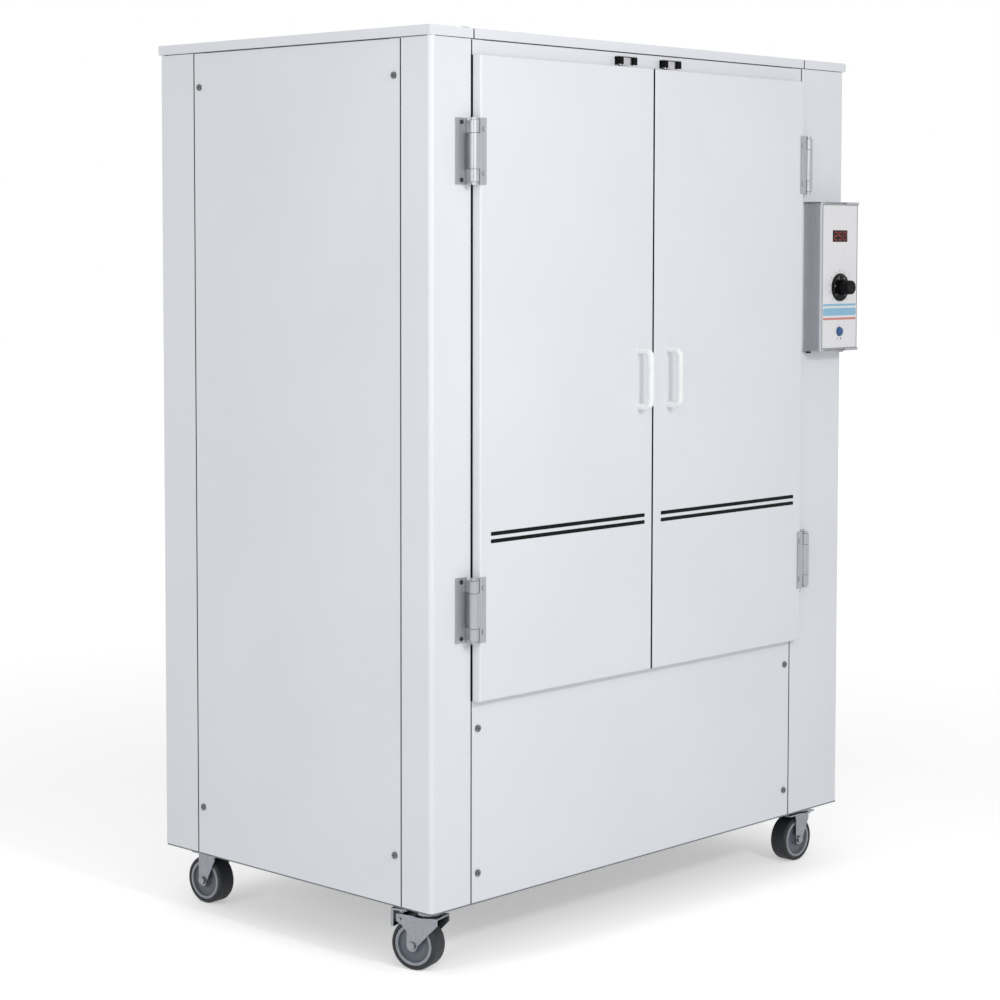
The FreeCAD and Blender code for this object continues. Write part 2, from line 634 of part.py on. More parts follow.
def corner_posts():
    """Four folded posts; the right front one is wide, because it carries the control box."""
    posts = []
    for side in ("left", "right"):
        for end in ("front", "rear"):
            name = f"{side}_{end}_post"
            pieces = post_side(name, side, end, f"post_side_{end}")
            if end == "rear":
                pieces += post_face(name, side, end, "post_rear", "bottom", "body_height")
            elif side == "left":
                pieces += post_face(name, side, end, "post_left", "bottom", "body_height")
            else:
                under = "post_right_low - post_right + lap_under"
                pieces += post_face(f"{name}_low", side, end, "post_right_low", "bottom",
                                    "lower_top - bottom", under)
                pieces += post_face(f"{name}_high", side, end, "post_right", "lower_top", "top - lower_top")
            folded = fold_edges(name, fuse(f"{name}_sheet", *pieces), side, end)
            holes = panel_holes(name, side, end)
            if end == "front":
                holes += leaf_holes(name, side, "frame")
            posts.append(cut(f"{name}_drilled", folded, *holes))
    subpart("corner_posts", group("posts", posts))


# Cabinet panels
def side_panels():
    """Flat panels between the posts of each side."""
    start = "front + post_side_front + seam"
    length = "body_depth - post_side_front - post_side_rear - 2*seam"
    panels = []
    for side, x in (("left", "left"), ("right", "right - sheet_steel")):
        size = ("sheet_steel", length, "panel_top - bottom")
        flat = box(f"{side}_panel_sheet", size, (x, start, "bottom"))
        panels.append(cut(f"{side}_panel", flat, *panel_holes(f"{side}_panel", side)))
    subpart("side_panels", group("sides", panels))


def lower_front_panel():
    """The plain panel under the doors."""
    flat = box("lower_sheet", ("panel_right - panel_left", "sheet_steel", "lower_top - bottom"),
               ("panel_left", "front", "bottom"))
    subpart("lower_front_panel", cut("lower_panel", flat, *panel_holes("lower_panel", "front")))


def door_header():
    """The strip above the doors, which carries the catches."""
    size = ("header_right - panel_left", "sheet_steel", "panel_top - header_low")
    subpart("door_header", box("header", size, ("panel_left", "front", "header_low")))


VENT_COLUMNS = 2
VENT_ROWS = 8


def rear_panel():
    """The rear panel, with vents for the fan motor and a hole for the mains gland."""
    flat = box("rear_sheet", ("body_width - 2*post_rear - 2*seam", "sheet_steel", "panel_top - bottom"),
               ("left + post_rear + seam", "rear - sheet_steel", "bottom"))
    holes = panel_holes("rear_panel", "rear")
    for column in range(VENT_COLUMNS):
        for row in range(VENT_ROWS):
            x = f"(2*{column} - 1)*vent_length - vent_length/2"
            at = (x, "rear - 2*sheet_steel", f"bottom + vent_low + {row}*vent_pitch")
            holes.append(box(f"vent_{column}_{row}", ("vent_length", "3*sheet_steel", "vent_height"), at))
    holes.append(rod("mains_hole", "mains_stub + screw_play", "3*sheet_steel",
                     ("right - mains_inset", "rear - 2*sheet_steel", "bottom + mains_rise"), "Y"))
    subpart("rear_panel", cut("rear_cover", flat, *holes))


def tray(name, x, width):
    """A top cover: a shallow box, open below inside its turned-in flange."""
    y = "front - cap_front"
    depth = "body_depth + cap_front + cap_rear"
    block = box(f"{name}_block", (width, depth, "cap_height"), (x, y, "top"))
    hollow = box(f"{name}_hollow",
                 (f"{width} - 2*sheet_steel", f"{depth} - 2*sheet_steel", "cap_height - 2*sheet_steel"),
                 (f"{x} + sheet_steel", f"{y} + sheet_steel", "top + sheet_steel"))
    mouth = box(f"{name}_mouth", (f"{width} - 2*cap_return", f"{depth} - 2*cap_return", "2*sheet_steel"),
                (f"{x} + cap_return", f"{y} + cap_return", "top - sheet_steel/2"))
    return block, [hollow, mouth]


def top_covers():
    """Three covers side by side, with the exhaust through the middle one."""
    middle_width = "body_width - cap_left - cap_right - 2*seam"
    covers = []
    for name, x, width in (("cap_l", "left - cap_side", "cap_left + cap_side"),
                           ("cap_m", "left + cap_left + seam", middle_width),
                           ("cap_r", "right - cap_right", "cap_right + cap_side")):
        block, hollows = tray(name, x, width)
        if name == "cap_m":
            hollows.append(rod("cap_exhaust", "exhaust_radius + exhaust_fit", "2*cap_height",
                               ("mouth_middle", "exhaust_y", "top")))
        covers.append(cut(name, block, *hollows))
    subpart("top_covers", group("covers", covers))


BOLT = ("bolt_head", "bolt_head_height", "bolt_radius", "bolt_length")

CASTERS = {
    "front_left": ("left + caster_side", "front + caster_front", "turn_front_left"),
    "front_right": ("right - caster_side", "front + caster_front", "turn_front_right"),
    "rear_left": ("left + caster_side_rear", "rear - caster_rear", "turn_rear"),
    "rear_right": ("right - caster_side_rear", "rear - caster_rear", "turn_rear"),
}


def bolt_places(corner):
    """The four bolts of one caster's plate."""
    x, y, _ = CASTERS[corner]
    return [
        (f"{x} + ({across})*plate_bolt", f"{y} + ({along})*plate_bolt", "plate_low")
        for across in (-1, 1)
        for along in (-1, 1)
    ]


def bolt_holes(name):
    """Holes for all caster bolts."""
    return [
        screw_hole(f"{name}_{corner}_{n}", spot, "under", "bolt_radius", "bolt_length")
        for corner in CASTERS
        for n, spot in enumerate(bolt_places(corner))
    ]


def base_frame():
    """A floor that the posts stand on, with a hollow rail over each side's casters."""
    pan = box("pan", ("body_width - 2*sheet_steel", "body_depth - 2*sheet_steel", "pan_sheet"),
              ("left + sheet_steel", "front + sheet_steel", "bottom - pan_sheet"))
    pieces = [pan]
    hollows = []
    for side, x in (("left", "left + inside"), ("right", "right - inside - rail_width")):
        size = ("rail_width", "body_depth - 2*corner_round", "rail_height")
        inner = ("rail_width - 2*rail_wall", "body_depth", "rail_height - rail_wall")
        pieces.append(box(f"{side}_rail", size, (x, "front + corner_round", "bottom")))
        hollows.append(box(f"{side}_rail_hollow", inner, (f"{x} + rail_wall", "front", "bottom")))
    sheetwork = fuse("base_sheet", *pieces)
    subpart("base_frame", cut("base", sheetwork, *hollows, *bolt_holes("base_bolt")))


def floor_holes(name, low, height):
    """Holes for the fan's shaft and the heater's ends, through the pieces under the chamber."""
    shaft = rod(f"{name}_shaft_hole", "fan_shaft + fan_shaft_play", height, ("mouth_middle", "fan_y", low))
    return [shaft] + [
        rod(f"{name}_heater_hole_{n}", "heater_sleeve + heater_play", height, (*spot, low))
        for n, spot in enumerate(HEATER_ENDS)
    ]


HEATER_ENDS = [
    (f"mouth_middle + heater_ring*cos({turn})", f"fan_y + heater_ring*sin({turn})")
    for turn in ("heater_gap/2", "-heater_gap/2")
]


def support_deck():
    """The plate between the posts that the insulated chamber stands on."""
    size = ("body_width - 2*inside", "body_depth - 2*corner_round", "deck_sheet")
    flat = box("deck_flat", size, ("left + inside", "front + corner_round", "deck_low"))
    holes = floor_holes("deck", "deck_low - deck_sheet", "3*deck_sheet")
    subpart("support_deck", cut("deck", flat, *holes))


# Chamber
def chamber_liner():
    """The stainless chamber with its front flange."""
    flange = box("liner_flange",
                 ("header_right - panel_left", "sheet_steel", "header_low - lower_top - 2*seam"),
                 ("panel_left", "front", "lower_top + seam"))
    size = ("mouth_width + 2*liner_sheet", "chamber_depth + liner_sheet", "mouth_height + 2*liner_sheet")
    shell = box("liner_shell", size, ("mouth_left - liner_sheet", "front", "mouth_low - liner_sheet"))
    hollow = box("liner_hollow", ("mouth_width", "2*chamber_depth", "mouth_height"),
                 ("mouth_left", "front - chamber_depth", "mouth_low"))
    holes = floor_holes("liner", "mouth_low - 2*liner_sheet", "3*liner_sheet")
    holes.append(rod("liner_exhaust", "exhaust_radius + exhaust_fit", "3*liner_sheet",
                     ("mouth_middle", "exhaust_y", "mouth_high - liner_sheet")))
    holes.append(rod("liner_probe", "probe_radius + exhaust_fit", "3*liner_sheet",
                     ("mouth_middle + probe_side", "chamber_rear - liner_sheet", "probe_z"), "Y"))
    subpart("chamber_liner", cut("liner", fuse("liner_sheetwork", flange, shell), hollow, *holes))


def chamber_insulation():
    """Mineral wool round the five closed sides of the liner."""
    start = "front + insulation_front"
    block = box("wool_block",
                ("mouth_width + 2*liner_sheet + 2*insulation", "wool_rear - front - insulation_front",
                 "mouth_height + 2*liner_sheet + 2*insulation"),
                ("mouth_left - liner_sheet - insulation", start, "wool_low"))
    hollow = box("wool_hollow",
                 ("mouth_width + 2*liner_sheet", "chamber_depth + liner_sheet",
                  "mouth_height + 2*liner_sheet"),
                 ("mouth_left - liner_sheet", "front", "mouth_low - liner_sheet"))
    holes = floor_holes("wool", "wool_low - insulation", "3*insulation")
    holes.append(rod("wool_exhaust", "exhaust_radius + exhaust_fit", "2*insulation",
                     ("mouth_middle", "exhaust_y", "mouth_high")))
    holes.append(rod("wool_probe", "probe_radius + exhaust_fit", "2*insulation",
                     ("mouth_middle + probe_side", "chamber_rear", "probe_z"), "Y"))
    subpart("chamber_insulation", cut("wool", block, hollow, *holes))


def door_gasket():
    """The flat silicone seal round the mouth, which the closed doors lie against."""
    def band(name, inset, y, thickness):
        size = (f"mouth_width + 2*({inset})", thickness, f"mouth_height + 2*({inset})")
        return box(name, size, (f"mouth_left - ({inset})", y, f"mouth_low - ({inset})"))
    wide = "seal_inset + seal_width"
    outside = band("seal_outside", wide, "door_back + seal_clear", "seal_gap - seal_clear")
    inside = band("seal_inside", "seal_inset", "door_back - seal_gap", "3*seal_gap")
    subpart("door_gasket", cut("seal", outside, inside))


SHELF_COUNT = round(value("shelf_count"))


def shelf_uprights():
    """Four strips on the chamber's side walls, with a clip under each shelf."""
    low = "mouth_low + plenum_height + shelf_play"
    height = f"mouth_high - ({low})"
    right = "mouth_right - upright_depth"
    strips = []
    for side, x, clip_x in (("left", "mouth_left", "mouth_left + upright_depth"),
                            ("right", right, f"{right} - clip_reach")):
        for end, y in (("front", "shelf_start + upright_inset"),
                       ("rear", "shelf_start + shelf_depth - upright_inset - upright_width")):
            name = f"upright_{side}_{end}"
            pieces = [box(f"{name}_strip", ("upright_depth", "upright_width", height), (x, y, low))]
            for n in range(SHELF_COUNT):
                level = f"mouth_low + shelf_first + {n}*shelf_pitch - clip_height - shelf_rim - clip_play"
                pieces.append(box(f"{name}_clip_{n}", ("clip_reach", "upright_width", "clip_height"),
                                  (clip_x, y, level)))
            strips.append(fuse(name, *pieces))
    subpart("shelf_uprights", group("uprights", strips))


def wire_shelf(name, level):
    """A rim of rod with straight wires from front to back and one cross rod."""
    x_near = "shelf_left + shelf_rim"
    x_span = "shelf_width - 2*shelf_rim"
    y_near = "shelf_start + shelf_rim"
    y_span = "shelf_depth - 2*shelf_rim"
    pieces = [
        rod(f"{name}_rim_front", "shelf_rim", x_span, (x_near, y_near, level), "X"),
        rod(f"{name}_rim_middle", "shelf_rim", x_span, (x_near, f"{y_near} + ({y_span})/2", level), "X"),
        rod(f"{name}_rim_rear", "shelf_rim", x_span, (x_near, f"{y_near} + {y_span}", level), "X"),
        rod(f"{name}_rim_left", "shelf_rim", y_span, (x_near, y_near, level), "Y"),
        rod(f"{name}_rim_right", "shelf_rim", y_span, (f"{x_near} + {x_span}", y_near, level), "Y"),
    ]
    for n, (x, y) in enumerate(((x, y) for x in (x_near, f"{x_near} + {x_span}")
                                for y in (y_near, f"{y_near} + {y_span}"))):
        pieces.append(ball(f"{name}_corner_{n}", "shelf_rim", (x, y, level)))
    wires = int(value("shelf_width") // value("shelf_wire_pitch")) - 1
    first = f"{x_near} + ({x_span} - {wires - 1}*shelf_wire_pitch)/2"
    for n in range(wires):
        at = (f"{first} + {n}*shelf_wire_pitch", y_near, level)
        pieces.append(rod(f"{name}_wire_{n}", "shelf_wire", y_span, at, "Y"))
    return fuse(name, *pieces)


def wire_shelves():
    """Loose wire shelves on the uprights' clips."""
    levels = [f"mouth_low + shelf_first + {n}*shelf_pitch" for n in range(SHELF_COUNT)]
    subpart("wire_shelves", group("shelves", [wire_shelf(f"shelf_{n}", z) for n, z in enumerate(levels)]))


SLOT_ROWS = 3


def plenum_cover():
    """The slotted cover over the fan and the heater, standing on the chamber's floor."""
    x = "mouth_left + plenum_side"
    width = "mouth_width - 2*plenum_side"
    block = box("plenum_block", (width, "shelf_depth", "plenum_height"), (x, "shelf_start", "mouth_low"))
    hollow = box("plenum_hollow", (f"{width} + 2*plenum_side", "shelf_depth - 2*sheet_steel",
                                   "plenum_height - sheet_steel"),
                 (f"{x} - plenum_side", "shelf_start + sheet_steel", "mouth_low"))
    slot = ("plenum_slot_width", "plenum_slot", "3*sheet_steel")
    slots = []
    columns = int(value(f"{width} - 2*plenum_slot") // value("plenum_slot_pitch"))
    row_pitch = f"shelf_depth/{SLOT_ROWS}"
    for row in range(SLOT_ROWS):
        for n in range(columns):
            at = (f"mouth_middle + ({n} - {(columns - 1) / 2})*plenum_slot_pitch - plenum_slot_width/2",
                  f"shelf_start + {row}*{row_pitch} + ({row_pitch} - plenum_slot)/2",
                  "mouth_low + plenum_height - 2*sheet_steel")
            slots.append(box(f"plenum_slot_{row}_{n}", slot, at))
    subpart("plenum_cover", cut("plenum", block, hollow, *slots))


# Heating and air
def heater_element():
    """A tube heater bent to an open ring, with a sleeve on each end that goes down through the deck."""
    ring = doc.addObject("Part::Torus", "heater_tube")
    bind(ring, Radius1="heater_ring", Radius2="heater_radius", Angle3="360 - heater_gap")
    ring_z = "mouth_low + heater_lift"
    place(ring, ("mouth_middle", "fan_y", ring_z), "heater_gap/2")
    pieces = [ring]
    for n, spot in enumerate(HEATER_ENDS):
        low = "deck_low - heater_tail"
        height = f"{ring_z} + heater_sleeve - ({low})"
        pieces.append(rod(f"heater_end_{n}", "heater_sleeve", height, (*spot, low)))
    subpart("heater_element", fuse("heater", *pieces))


def fan_motor():
    """The fan's motor, hung under the deck in the cool compartment."""
    centre = ("mouth_middle", "fan_y")
    flange_low = "deck_low - motor_flange_sheet"
    can_low = f"{flange_low} - motor_height"
    flange = rod("motor_flange_disc", "motor_flange", "motor_flange_sheet", (*centre, flange_low))
    can = rod("motor_can", "motor_radius", "motor_height", (*centre, can_low))
    seat = rod("motor_bore", "fan_shaft + shaft_fit", "2*fan_shaft_seat",
               (*centre, "deck_low - fan_shaft_seat"))
    subpart("fan_motor", cut("motor", fuse("motor_body", flange, can), seat))


def fan_impeller():
    """A flat disc with straight blades on the motor's shaft."""
    centre = ("mouth_middle", "fan_y")
    shaft_low = "deck_low - fan_shaft_seat + fan_plate"
    pieces = [
        rod("fan_disc", "fan_radius", "fan_plate", (*centre, "fan_low")),
        rod("fan_hub_boss", "fan_hub", "fan_height", (*centre, "fan_low")),
        rod("fan_spindle", "fan_shaft", f"fan_low - ({shaft_low})", (*centre, shaft_low)),
    ]
    blades = round(value("fan_blades"))
    for n in range(blades):
        turn = f"{n}*360/{blades}"
        blade = box(f"fan_blade_{n}", ("fan_radius - fan_root", "fan_plate", "fan_height"), ("0", "0", "0"))
        x = f"mouth_middle + fan_root*cos({turn}) + fan_plate/2*sin({turn})"
        y = f"fan_y + fan_root*sin({turn}) - fan_plate/2*cos({turn})"
        pieces.append(place(blade, (x, y, "fan_low"), turn))
    subpart("fan_impeller", fuse("impeller", *pieces))


def temperature_probe():
    """A sensor rod through the chamber's rear wall."""
    x = "mouth_middle + probe_side"
    stem = rod("probe_stem", "probe_radius", "wool_rear - chamber_rear + probe_inside",
               (x, "chamber_rear - probe_inside", "probe_z"), "Y")
    head = rod("probe_cap", "probe_head", "probe_head_length", (x, "wool_rear", "probe_z"), "Y")
    subpart("temperature_probe", fuse("probe", stem, head))


def exhaust_collar():
    """The pipe from the chamber's ceiling up through the top cover."""
    at = ("mouth_middle", "exhaust_y", "mouth_high")
    height = "cap_top + exhaust_reach - mouth_high"
    wide = rod("collar_pipe", "exhaust_radius", f"{height} - spigot_length", at)
    spigot = rod("collar_spigot", "spigot_radius", height, at)
    pipe = fuse("collar_outside", wide, spigot)
    inside = rod("collar_bore", "exhaust_radius - exhaust_wall", f"3*({height})",
                 (*at[:2], f"mouth_high - ({height})"))
    spindle = rod("collar_spindle_hole", "damper_spindle + shaft_fit", "4*exhaust_radius",
                  ("mouth_middle - 2*exhaust_radius", "exhaust_y", "cap_top + damper_rise"), "X")
    subpart("exhaust_collar", cut("collar", pipe, inside, spindle))


def exhaust_damper():
    """A disc in the exhaust collar, turned by a lever outside it."""
    z = "cap_top + damper_rise"
    reach = "exhaust_radius + damper_stand"
    disc = rod("damper_disc", "exhaust_radius - exhaust_wall - damper_play", "damper_sheet",
               ("mouth_middle", "exhaust_y", f"{z} - damper_sheet/2"))
    spindle = rod("damper_rod", "damper_spindle", f"2*({reach}) + 2*damper_sheet",
                  (f"mouth_middle - ({reach})", "exhaust_y", z), "X")
    half = "damper_lever_width/2"
    lever = box("damper_arm", ("2*damper_sheet", f"damper_lever + {half}", "damper_lever_width"),
                (f"mouth_middle + {reach}", f"exhaust_y - {half}", f"{z} - {half}"))
    subpart("exhaust_damper", fuse("damper", disc, spindle, lever))


# Doors
def span(side, near, far):
    """Start and length across a door, counted from its hinged edge."""
    if side == "left":
        return f"door_left + ({near})", f"({far}) - ({near})"
    return f"door_right - ({far})", f"({far}) - ({near})"


def door_block(name, side, near, far, y, depth, low, high):
    """A block on a door, counted from its hinged edge and between two heights."""
    x, width = span(side, near, far)
    return box(name, (width, depth, f"({high}) - ({low})"), (x, y, low))


def door_skin(side):
    """The door's painted front, folded back at its four edges."""
    block = door_block(f"{side}_skin_block", side, "0", "door_width", "door_front", "door_depth",
                       "door_bottom", "door_top")
    face = value("door_front")
    soft = round_edges(f"{side}_skin_round", block, "door_round",
                       lambda edge: abs(edge.CenterOfMass.y - face) < NEAR)
    hollow = door_block(f"{side}_skin_hollow", side, "sheet_steel", "door_width - sheet_steel",
                        "door_front + sheet_steel", "door_depth", "door_bottom + sheet_steel",
                        "door_top - sheet_steel")
    holes = leaf_holes(f"{side}_skin", side, "door")
    subpart(f"{side}_door_skin", cut(f"{side}_skin", soft, hollow, *holes))


PLUG_NEAR = "mouth_inset + plug_clear"
PLUG_FAR = "door_width - plug_meeting"
PLUG_LOW = "mouth_low + plug_clear"
PLUG_HIGH = "mouth_high - plug_clear"


def plug_inside(name, side):
    """The space inside a door's plug."""
    return door_block(name, side, f"{PLUG_NEAR} + liner_sheet", f"{PLUG_FAR} - liner_sheet",
                      "door_back - 2*liner_sheet", "liner_sheet + seal_gap + plug_depth",
                      f"{PLUG_LOW} + liner_sheet", f"{PLUG_HIGH} - liner_sheet")


def door_inner_pan(side):
    """The door's stainless back, with a plug that fills the chamber's mouth."""
    back = door_block(f"{side}_pan_back", side, "sheet_steel", "door_width - sheet_steel",
                      "door_back - liner_sheet", "liner_sheet", "door_bottom + sheet_steel",
                      "door_top - sheet_steel")
    plug = door_block(f"{side}_pan_plug", side, PLUG_NEAR, PLUG_FAR, "door_back - liner_sheet",
                      "liner_sheet + seal_gap + plug_depth", PLUG_LOW, PLUG_HIGH)
    sheetwork = fuse(f"{side}_pan_sheet", back, plug)
    subpart(f"{side}_door_inner_pan", cut(f"{side}_pan", sheetwork, plug_inside(f"{side}_pan_hollow", side)))


def door_insulation(side):
    """Mineral wool between the door's front and its back, and in its plug."""
    flat = door_block(f"{side}_wool_flat", side, "sheet_steel", "door_width - sheet_steel",
                      "door_front + sheet_steel", "door_depth - sheet_steel - liner_sheet",
                      "door_bottom + sheet_steel", "door_top - sheet_steel")
    solid = fuse(f"{side}_wool_solid", flat, plug_inside(f"{side}_wool_plug", side))
    holes = leaf_holes(f"{side}_wool", side, "door")
    subpart(f"{side}_door_insulation", cut(f"{side}_wool", solid, *holes))


def handle(side):
    """A bar handle bent from rod, with two feet on the door."""
    x, _ = span(side, "door_width - handle_inset", "door_width - handle_inset")
    middle = "bottom + handle_height"
    straight = "handle_pitch - 2*handle_bend"
    leg = "handle_reach - handle_radius - handle_bend"
    pieces = [rod(f"{side}_handle_grip", "handle_radius", straight,
                  (x, "handle_line", f"{middle} - ({straight})/2"))]
    for end, sign in (("top", 1), ("low", -1)):
        foot_z = f"{middle} + ({sign})*handle_pitch/2"
        bend_z = f"{middle} + ({sign})*({straight})/2"
        pieces.append(rod(f"{side}_handle_{end}_leg", "handle_radius", leg,
                          (x, "handle_line + handle_bend", foot_z), "Y"))
        bend = doc.addObject("Part::Torus", f"{side}_handle_{end}_bend")
        upward = FreeCAD.Rotation(FreeCAD.Vector(0, 1, 0), 90)
        quarter = FreeCAD.Rotation(FreeCAD.Vector(1, 0, 0), 180 if sign > 0 else -90)
        bend.Placement = FreeCAD.Placement(FreeCAD.Vector(), quarter * upward)
        bind(bend, Radius1="handle_bend", Radius2="handle_radius", Angle3="90")
        pieces.append(place(bend, (x, "handle_line + handle_bend", bend_z)))
    subpart(f"{side}_door_handle", fuse(f"{side}_handle", *pieces))


# Hinges
HINGE_STARTS = {"low": "hinge_low_start", "high": "hinge_high_start"}


def hinge_x(side, offset):
    """A place beside a hinge's axis, counted towards the door."""
    if side == "left":
        return f"door_left - hinge_out + ({offset})"
    return f"door_right + hinge_out - ({offset})"


def hinge_block(name, side, near, far, y, depth, low, height):
    """A block beside a hinge's axis, from near to far towards the door."""
    start = hinge_x(side, near if side == "left" else far)
    return box(name, (f"({far}) - ({near})", depth, height), (start, y, low))


def barrel(name, side, low, height):
    """A hinge knuckle, still without its bore."""
    return rod(name, "hinge_barrel", height, (hinge_x(side, "0"), "hinge_line", low))


def bore(name, side, low):
    """The bore through all knuckles of a hinge."""
    return rod(name, "hinge_pin + hinge_fit", "2*hinge_height",
               (hinge_x(side, "0"), "hinge_line", f"{low} - hinge_height/2"))


def leaf_screw_pair(side, kind, low):
    """Two screws of a hinge leaf."""
    if kind == "frame":
        x = hinge_x(side, "-leaf_frame/2")
        y = "front - leaf_sheet"
    else:
        x = hinge_x(side, "(hinge_out + leaf_door)/2")
        y = "door_front - leaf_sheet"
    return [(x, y, f"{low} + hinge_height/2 + ({sign})*leaf_screw_{kind}") for sign in (-1, 1)]


def leaf_screws(side, kind):
    """All screws of one door's hinges, in their frame leaves or their door leaves."""
    return [spot for low in HINGE_STARTS.values() for spot in leaf_screw_pair(side, kind, low)]


def leaf_holes(name, side, kind):
    """Holes for those screws."""
    spots = leaf_screws(side, kind)
    return [screw_hole(f"{name}_{kind}_{n}", spot, "front") for n, spot in enumerate(spots)]


def frame_leaf(name, side, low):
    """A frame leaf on the post, whose two webs hold the outer knuckles in front of it."""
    pieces = [hinge_block(f"{name}_plate", side, "-leaf_frame", "leaf_web/2", "front - leaf_sheet",
                          "leaf_sheet", low, "hinge_height")]
    for end, start in (("low", f"{low} + knuckle_inset"),
                       ("top", f"{low} + hinge_height - knuckle_inset - knuckle")):
        pieces.append(barrel(f"{name}_{end}_knuckle", side, start, "knuckle"))
        pieces.append(hinge_block(f"{name}_{end}_web", side, "-leaf_web/2", "leaf_web/2",
                                  "hinge_line", "hinge_stand", start, "knuckle"))
    return cut(name, fuse(f"{name}_solid", *pieces), bore(f"{name}_bore", side, low),
               *leaf_holes(name, side, "frame"))


def door_leaf(name, side, low):
    """A door leaf on the door's front, joined to the middle knuckle."""
    step_in = "knuckle_inset + knuckle + knuckle_gap"
    middle = f"hinge_height - 2*({step_in})"
    start = f"{low} + {step_in}"
    y = "door_front - leaf_sheet"
    pieces = [
        hinge_block(f"{name}_plate", side, "leaf_notch", "leaf_door", y, "leaf_sheet", low, "hinge_height"),
        hinge_block(f"{name}_tongue", side, "hinge_pin", "leaf_notch", y, "leaf_sheet", start, middle),
        barrel(f"{name}_knuckle", side, start, middle),
    ]
    return cut(name, fuse(f"{name}_solid", *pieces), bore(f"{name}_bore", side, low),
               *leaf_holes(name, side, "door"))


def hinge_pin(name, side, low):
    """A hinge pin with a wider head at both ends, beyond the outer knuckles."""
    inset = "knuckle_inset - knuckle_gap - hinge_finial_height"
    start = f"{low} + {inset}"
    x = hinge_x(side, "0")
    shaft = rod(f"{name}_shaft", "hinge_pin", f"hinge_height - 2*({inset})", (x, "hinge_line", start))
    top_head = f"{low} + hinge_height - knuckle_inset + knuckle_gap"
    heads = [rod(f"{name}_{end}_head", "hinge_finial", "hinge_finial_height", (x, "hinge_line", z))
             for end, z in (("low", start), ("top", top_head))]
    return fuse(name, shaft, *heads)


def hinges():
    """Two hinges for each door: leaves on the posts, leaves on the doors, and pins."""
    frame_leaves = []
    pins = []
    for side in ("left", "right"):
        door_leaves = []
        for height, low in HINGE_STARTS.items():
            name = f"{side}_{height}"
            frame_leaves.append(frame_leaf(f"{name}_frame_leaf", side, low))
            pins.append(hinge_pin(f"{name}_pin", side, low))
            door_leaves.append(door_leaf(f"{name}_door_leaf", side, low))
        screws = [screw(f"{side}_door_screw_{n}", spot, "front", *LEAF_HEAD)
                  for n, spot in enumerate(leaf_screws(side, "door"))]
        subpart(f"{side}_door_hinge_leaves", group(f"{side}_leaves", door_leaves + screws))
    subpart("hinge_frame_leaves", group("frame_leaves", frame_leaves))
    subpart("hinge_pins", group("pins", pins))


# Catches
def catch_x(side, offset):
    """A place beside the middle of a door's catch."""
    x, _ = span(side, "door_width - catch_inset", "door_width - catch_inset")
    return f"{x} + ({offset})"


def roller_x(side, sign):
    """A catch roller's axis."""
    return catch_x(side, f"({sign})*roller_spread")


def catch_bracket(side):
    """A catch's back plate with a jaw over the rollers, whose headed pins hang from it."""
    name = f"{side}_catch"
    x = catch_x(side, "-catch_width/2")
    pieces = [
        box(f"{name}_back", ("catch_width", "catch_sheet", "catch_height"),
            (x, "front - catch_sheet", "catch_low")),
        box(f"{name}_jaw", ("catch_width", "catch_reach", "catch_sheet"),
            (x, "front - catch_reach", "catch_low + catch_height - catch_sheet")),
    ]
    for end, sign in (("left", -1), ("right", 1)):
        at = (roller_x(side, sign), "front - roller_stand", "catch_low")
        pieces.append(rod(f"{name}_{end}_pin", "roller_pin", "catch_height", at))
        pieces.append(rod(f"{name}_{end}_pin_head", "roller_head", "catch_sheet", at))
    return fuse(name, *pieces)


def catch_roller(side, place_name, sign):
    """One of a catch's two rollers."""
    name = f"{side}_catch_{place_name}_roller"
    at = (roller_x(side, sign), "front - roller_stand", "catch_low + catch_sheet + seal_clear")
    drum = rod(f"{name}_drum", "roller_radius", "roller_height", at)
    hole = rod(f"{name}_hole", "roller_pin + roller_fit", "3*catch_height",
               (*at[:2], "catch_low - catch_height"))
    subpart(name, cut(f"{name}_bored", drum, hole))


def catch_strike(side):
    """The tongue on a door's top edge that stands between the rollers."""
    name = f"{side}_strike"
    foot = box(f"{name}_foot", ("strike_base", "door_depth - door_round", "strike_foot"),
               (catch_x(side, "-strike_base/2"), "door_front + door_round", "door_top"))
    rise = "catch_rise + catch_height - 2*catch_sheet"
    tongue = box(f"{name}_tongue", ("strike_width", "strike_depth", rise),
                 (catch_x(side, "-strike_width/2"), "front - roller_stand", "door_top"))
    subpart(f"{side}_door_strike", fuse(name, foot, tongue))


def catches():
    """A double roller catch for each door."""
    subpart("catch_brackets", group("brackets", [catch_bracket(side) for side in ("left", "right")]))
    for side in ("left", "right"):
        catch_strike(side)
        for place_name, sign in (("left", -1), ("right", 1)):
            catch_roller(side, place_name, sign)


# Control box
FLUTES = 3


def upright_at(y):
    """A test that picks upright edges at a depth."""
    depth = value(y)
    return lambda edge: runs(edge, (0, 0, 1)) and abs(edge.CenterOfMass.y - depth) < NEAR


def control_cap(name, z):
    """An end cap of the control box, with a slot in its front edge."""
    x = "control_left - control_cap_lip"
    y = "control_front - control_cap_lip"
    size = ("control_width + 2*control_cap_lip", "control_depth + control_cap_lip", "control_cap")
    soft = round_edges(f"{name}_soft", box(f"{name}_block", size, (x, y, z)), "control_round", upright_at(y))
    slot_size = ("control_slot_width", "2*control_slot_depth", "control_slot_height")
    slot = box(f"{name}_slot", slot_size,
               ("control_left + control_slot_inset", f"{y} - control_slot_depth",
                f"{z} + (control_cap - control_slot_height)/2"))
    return cut(f"{name}_cap", soft, slot)


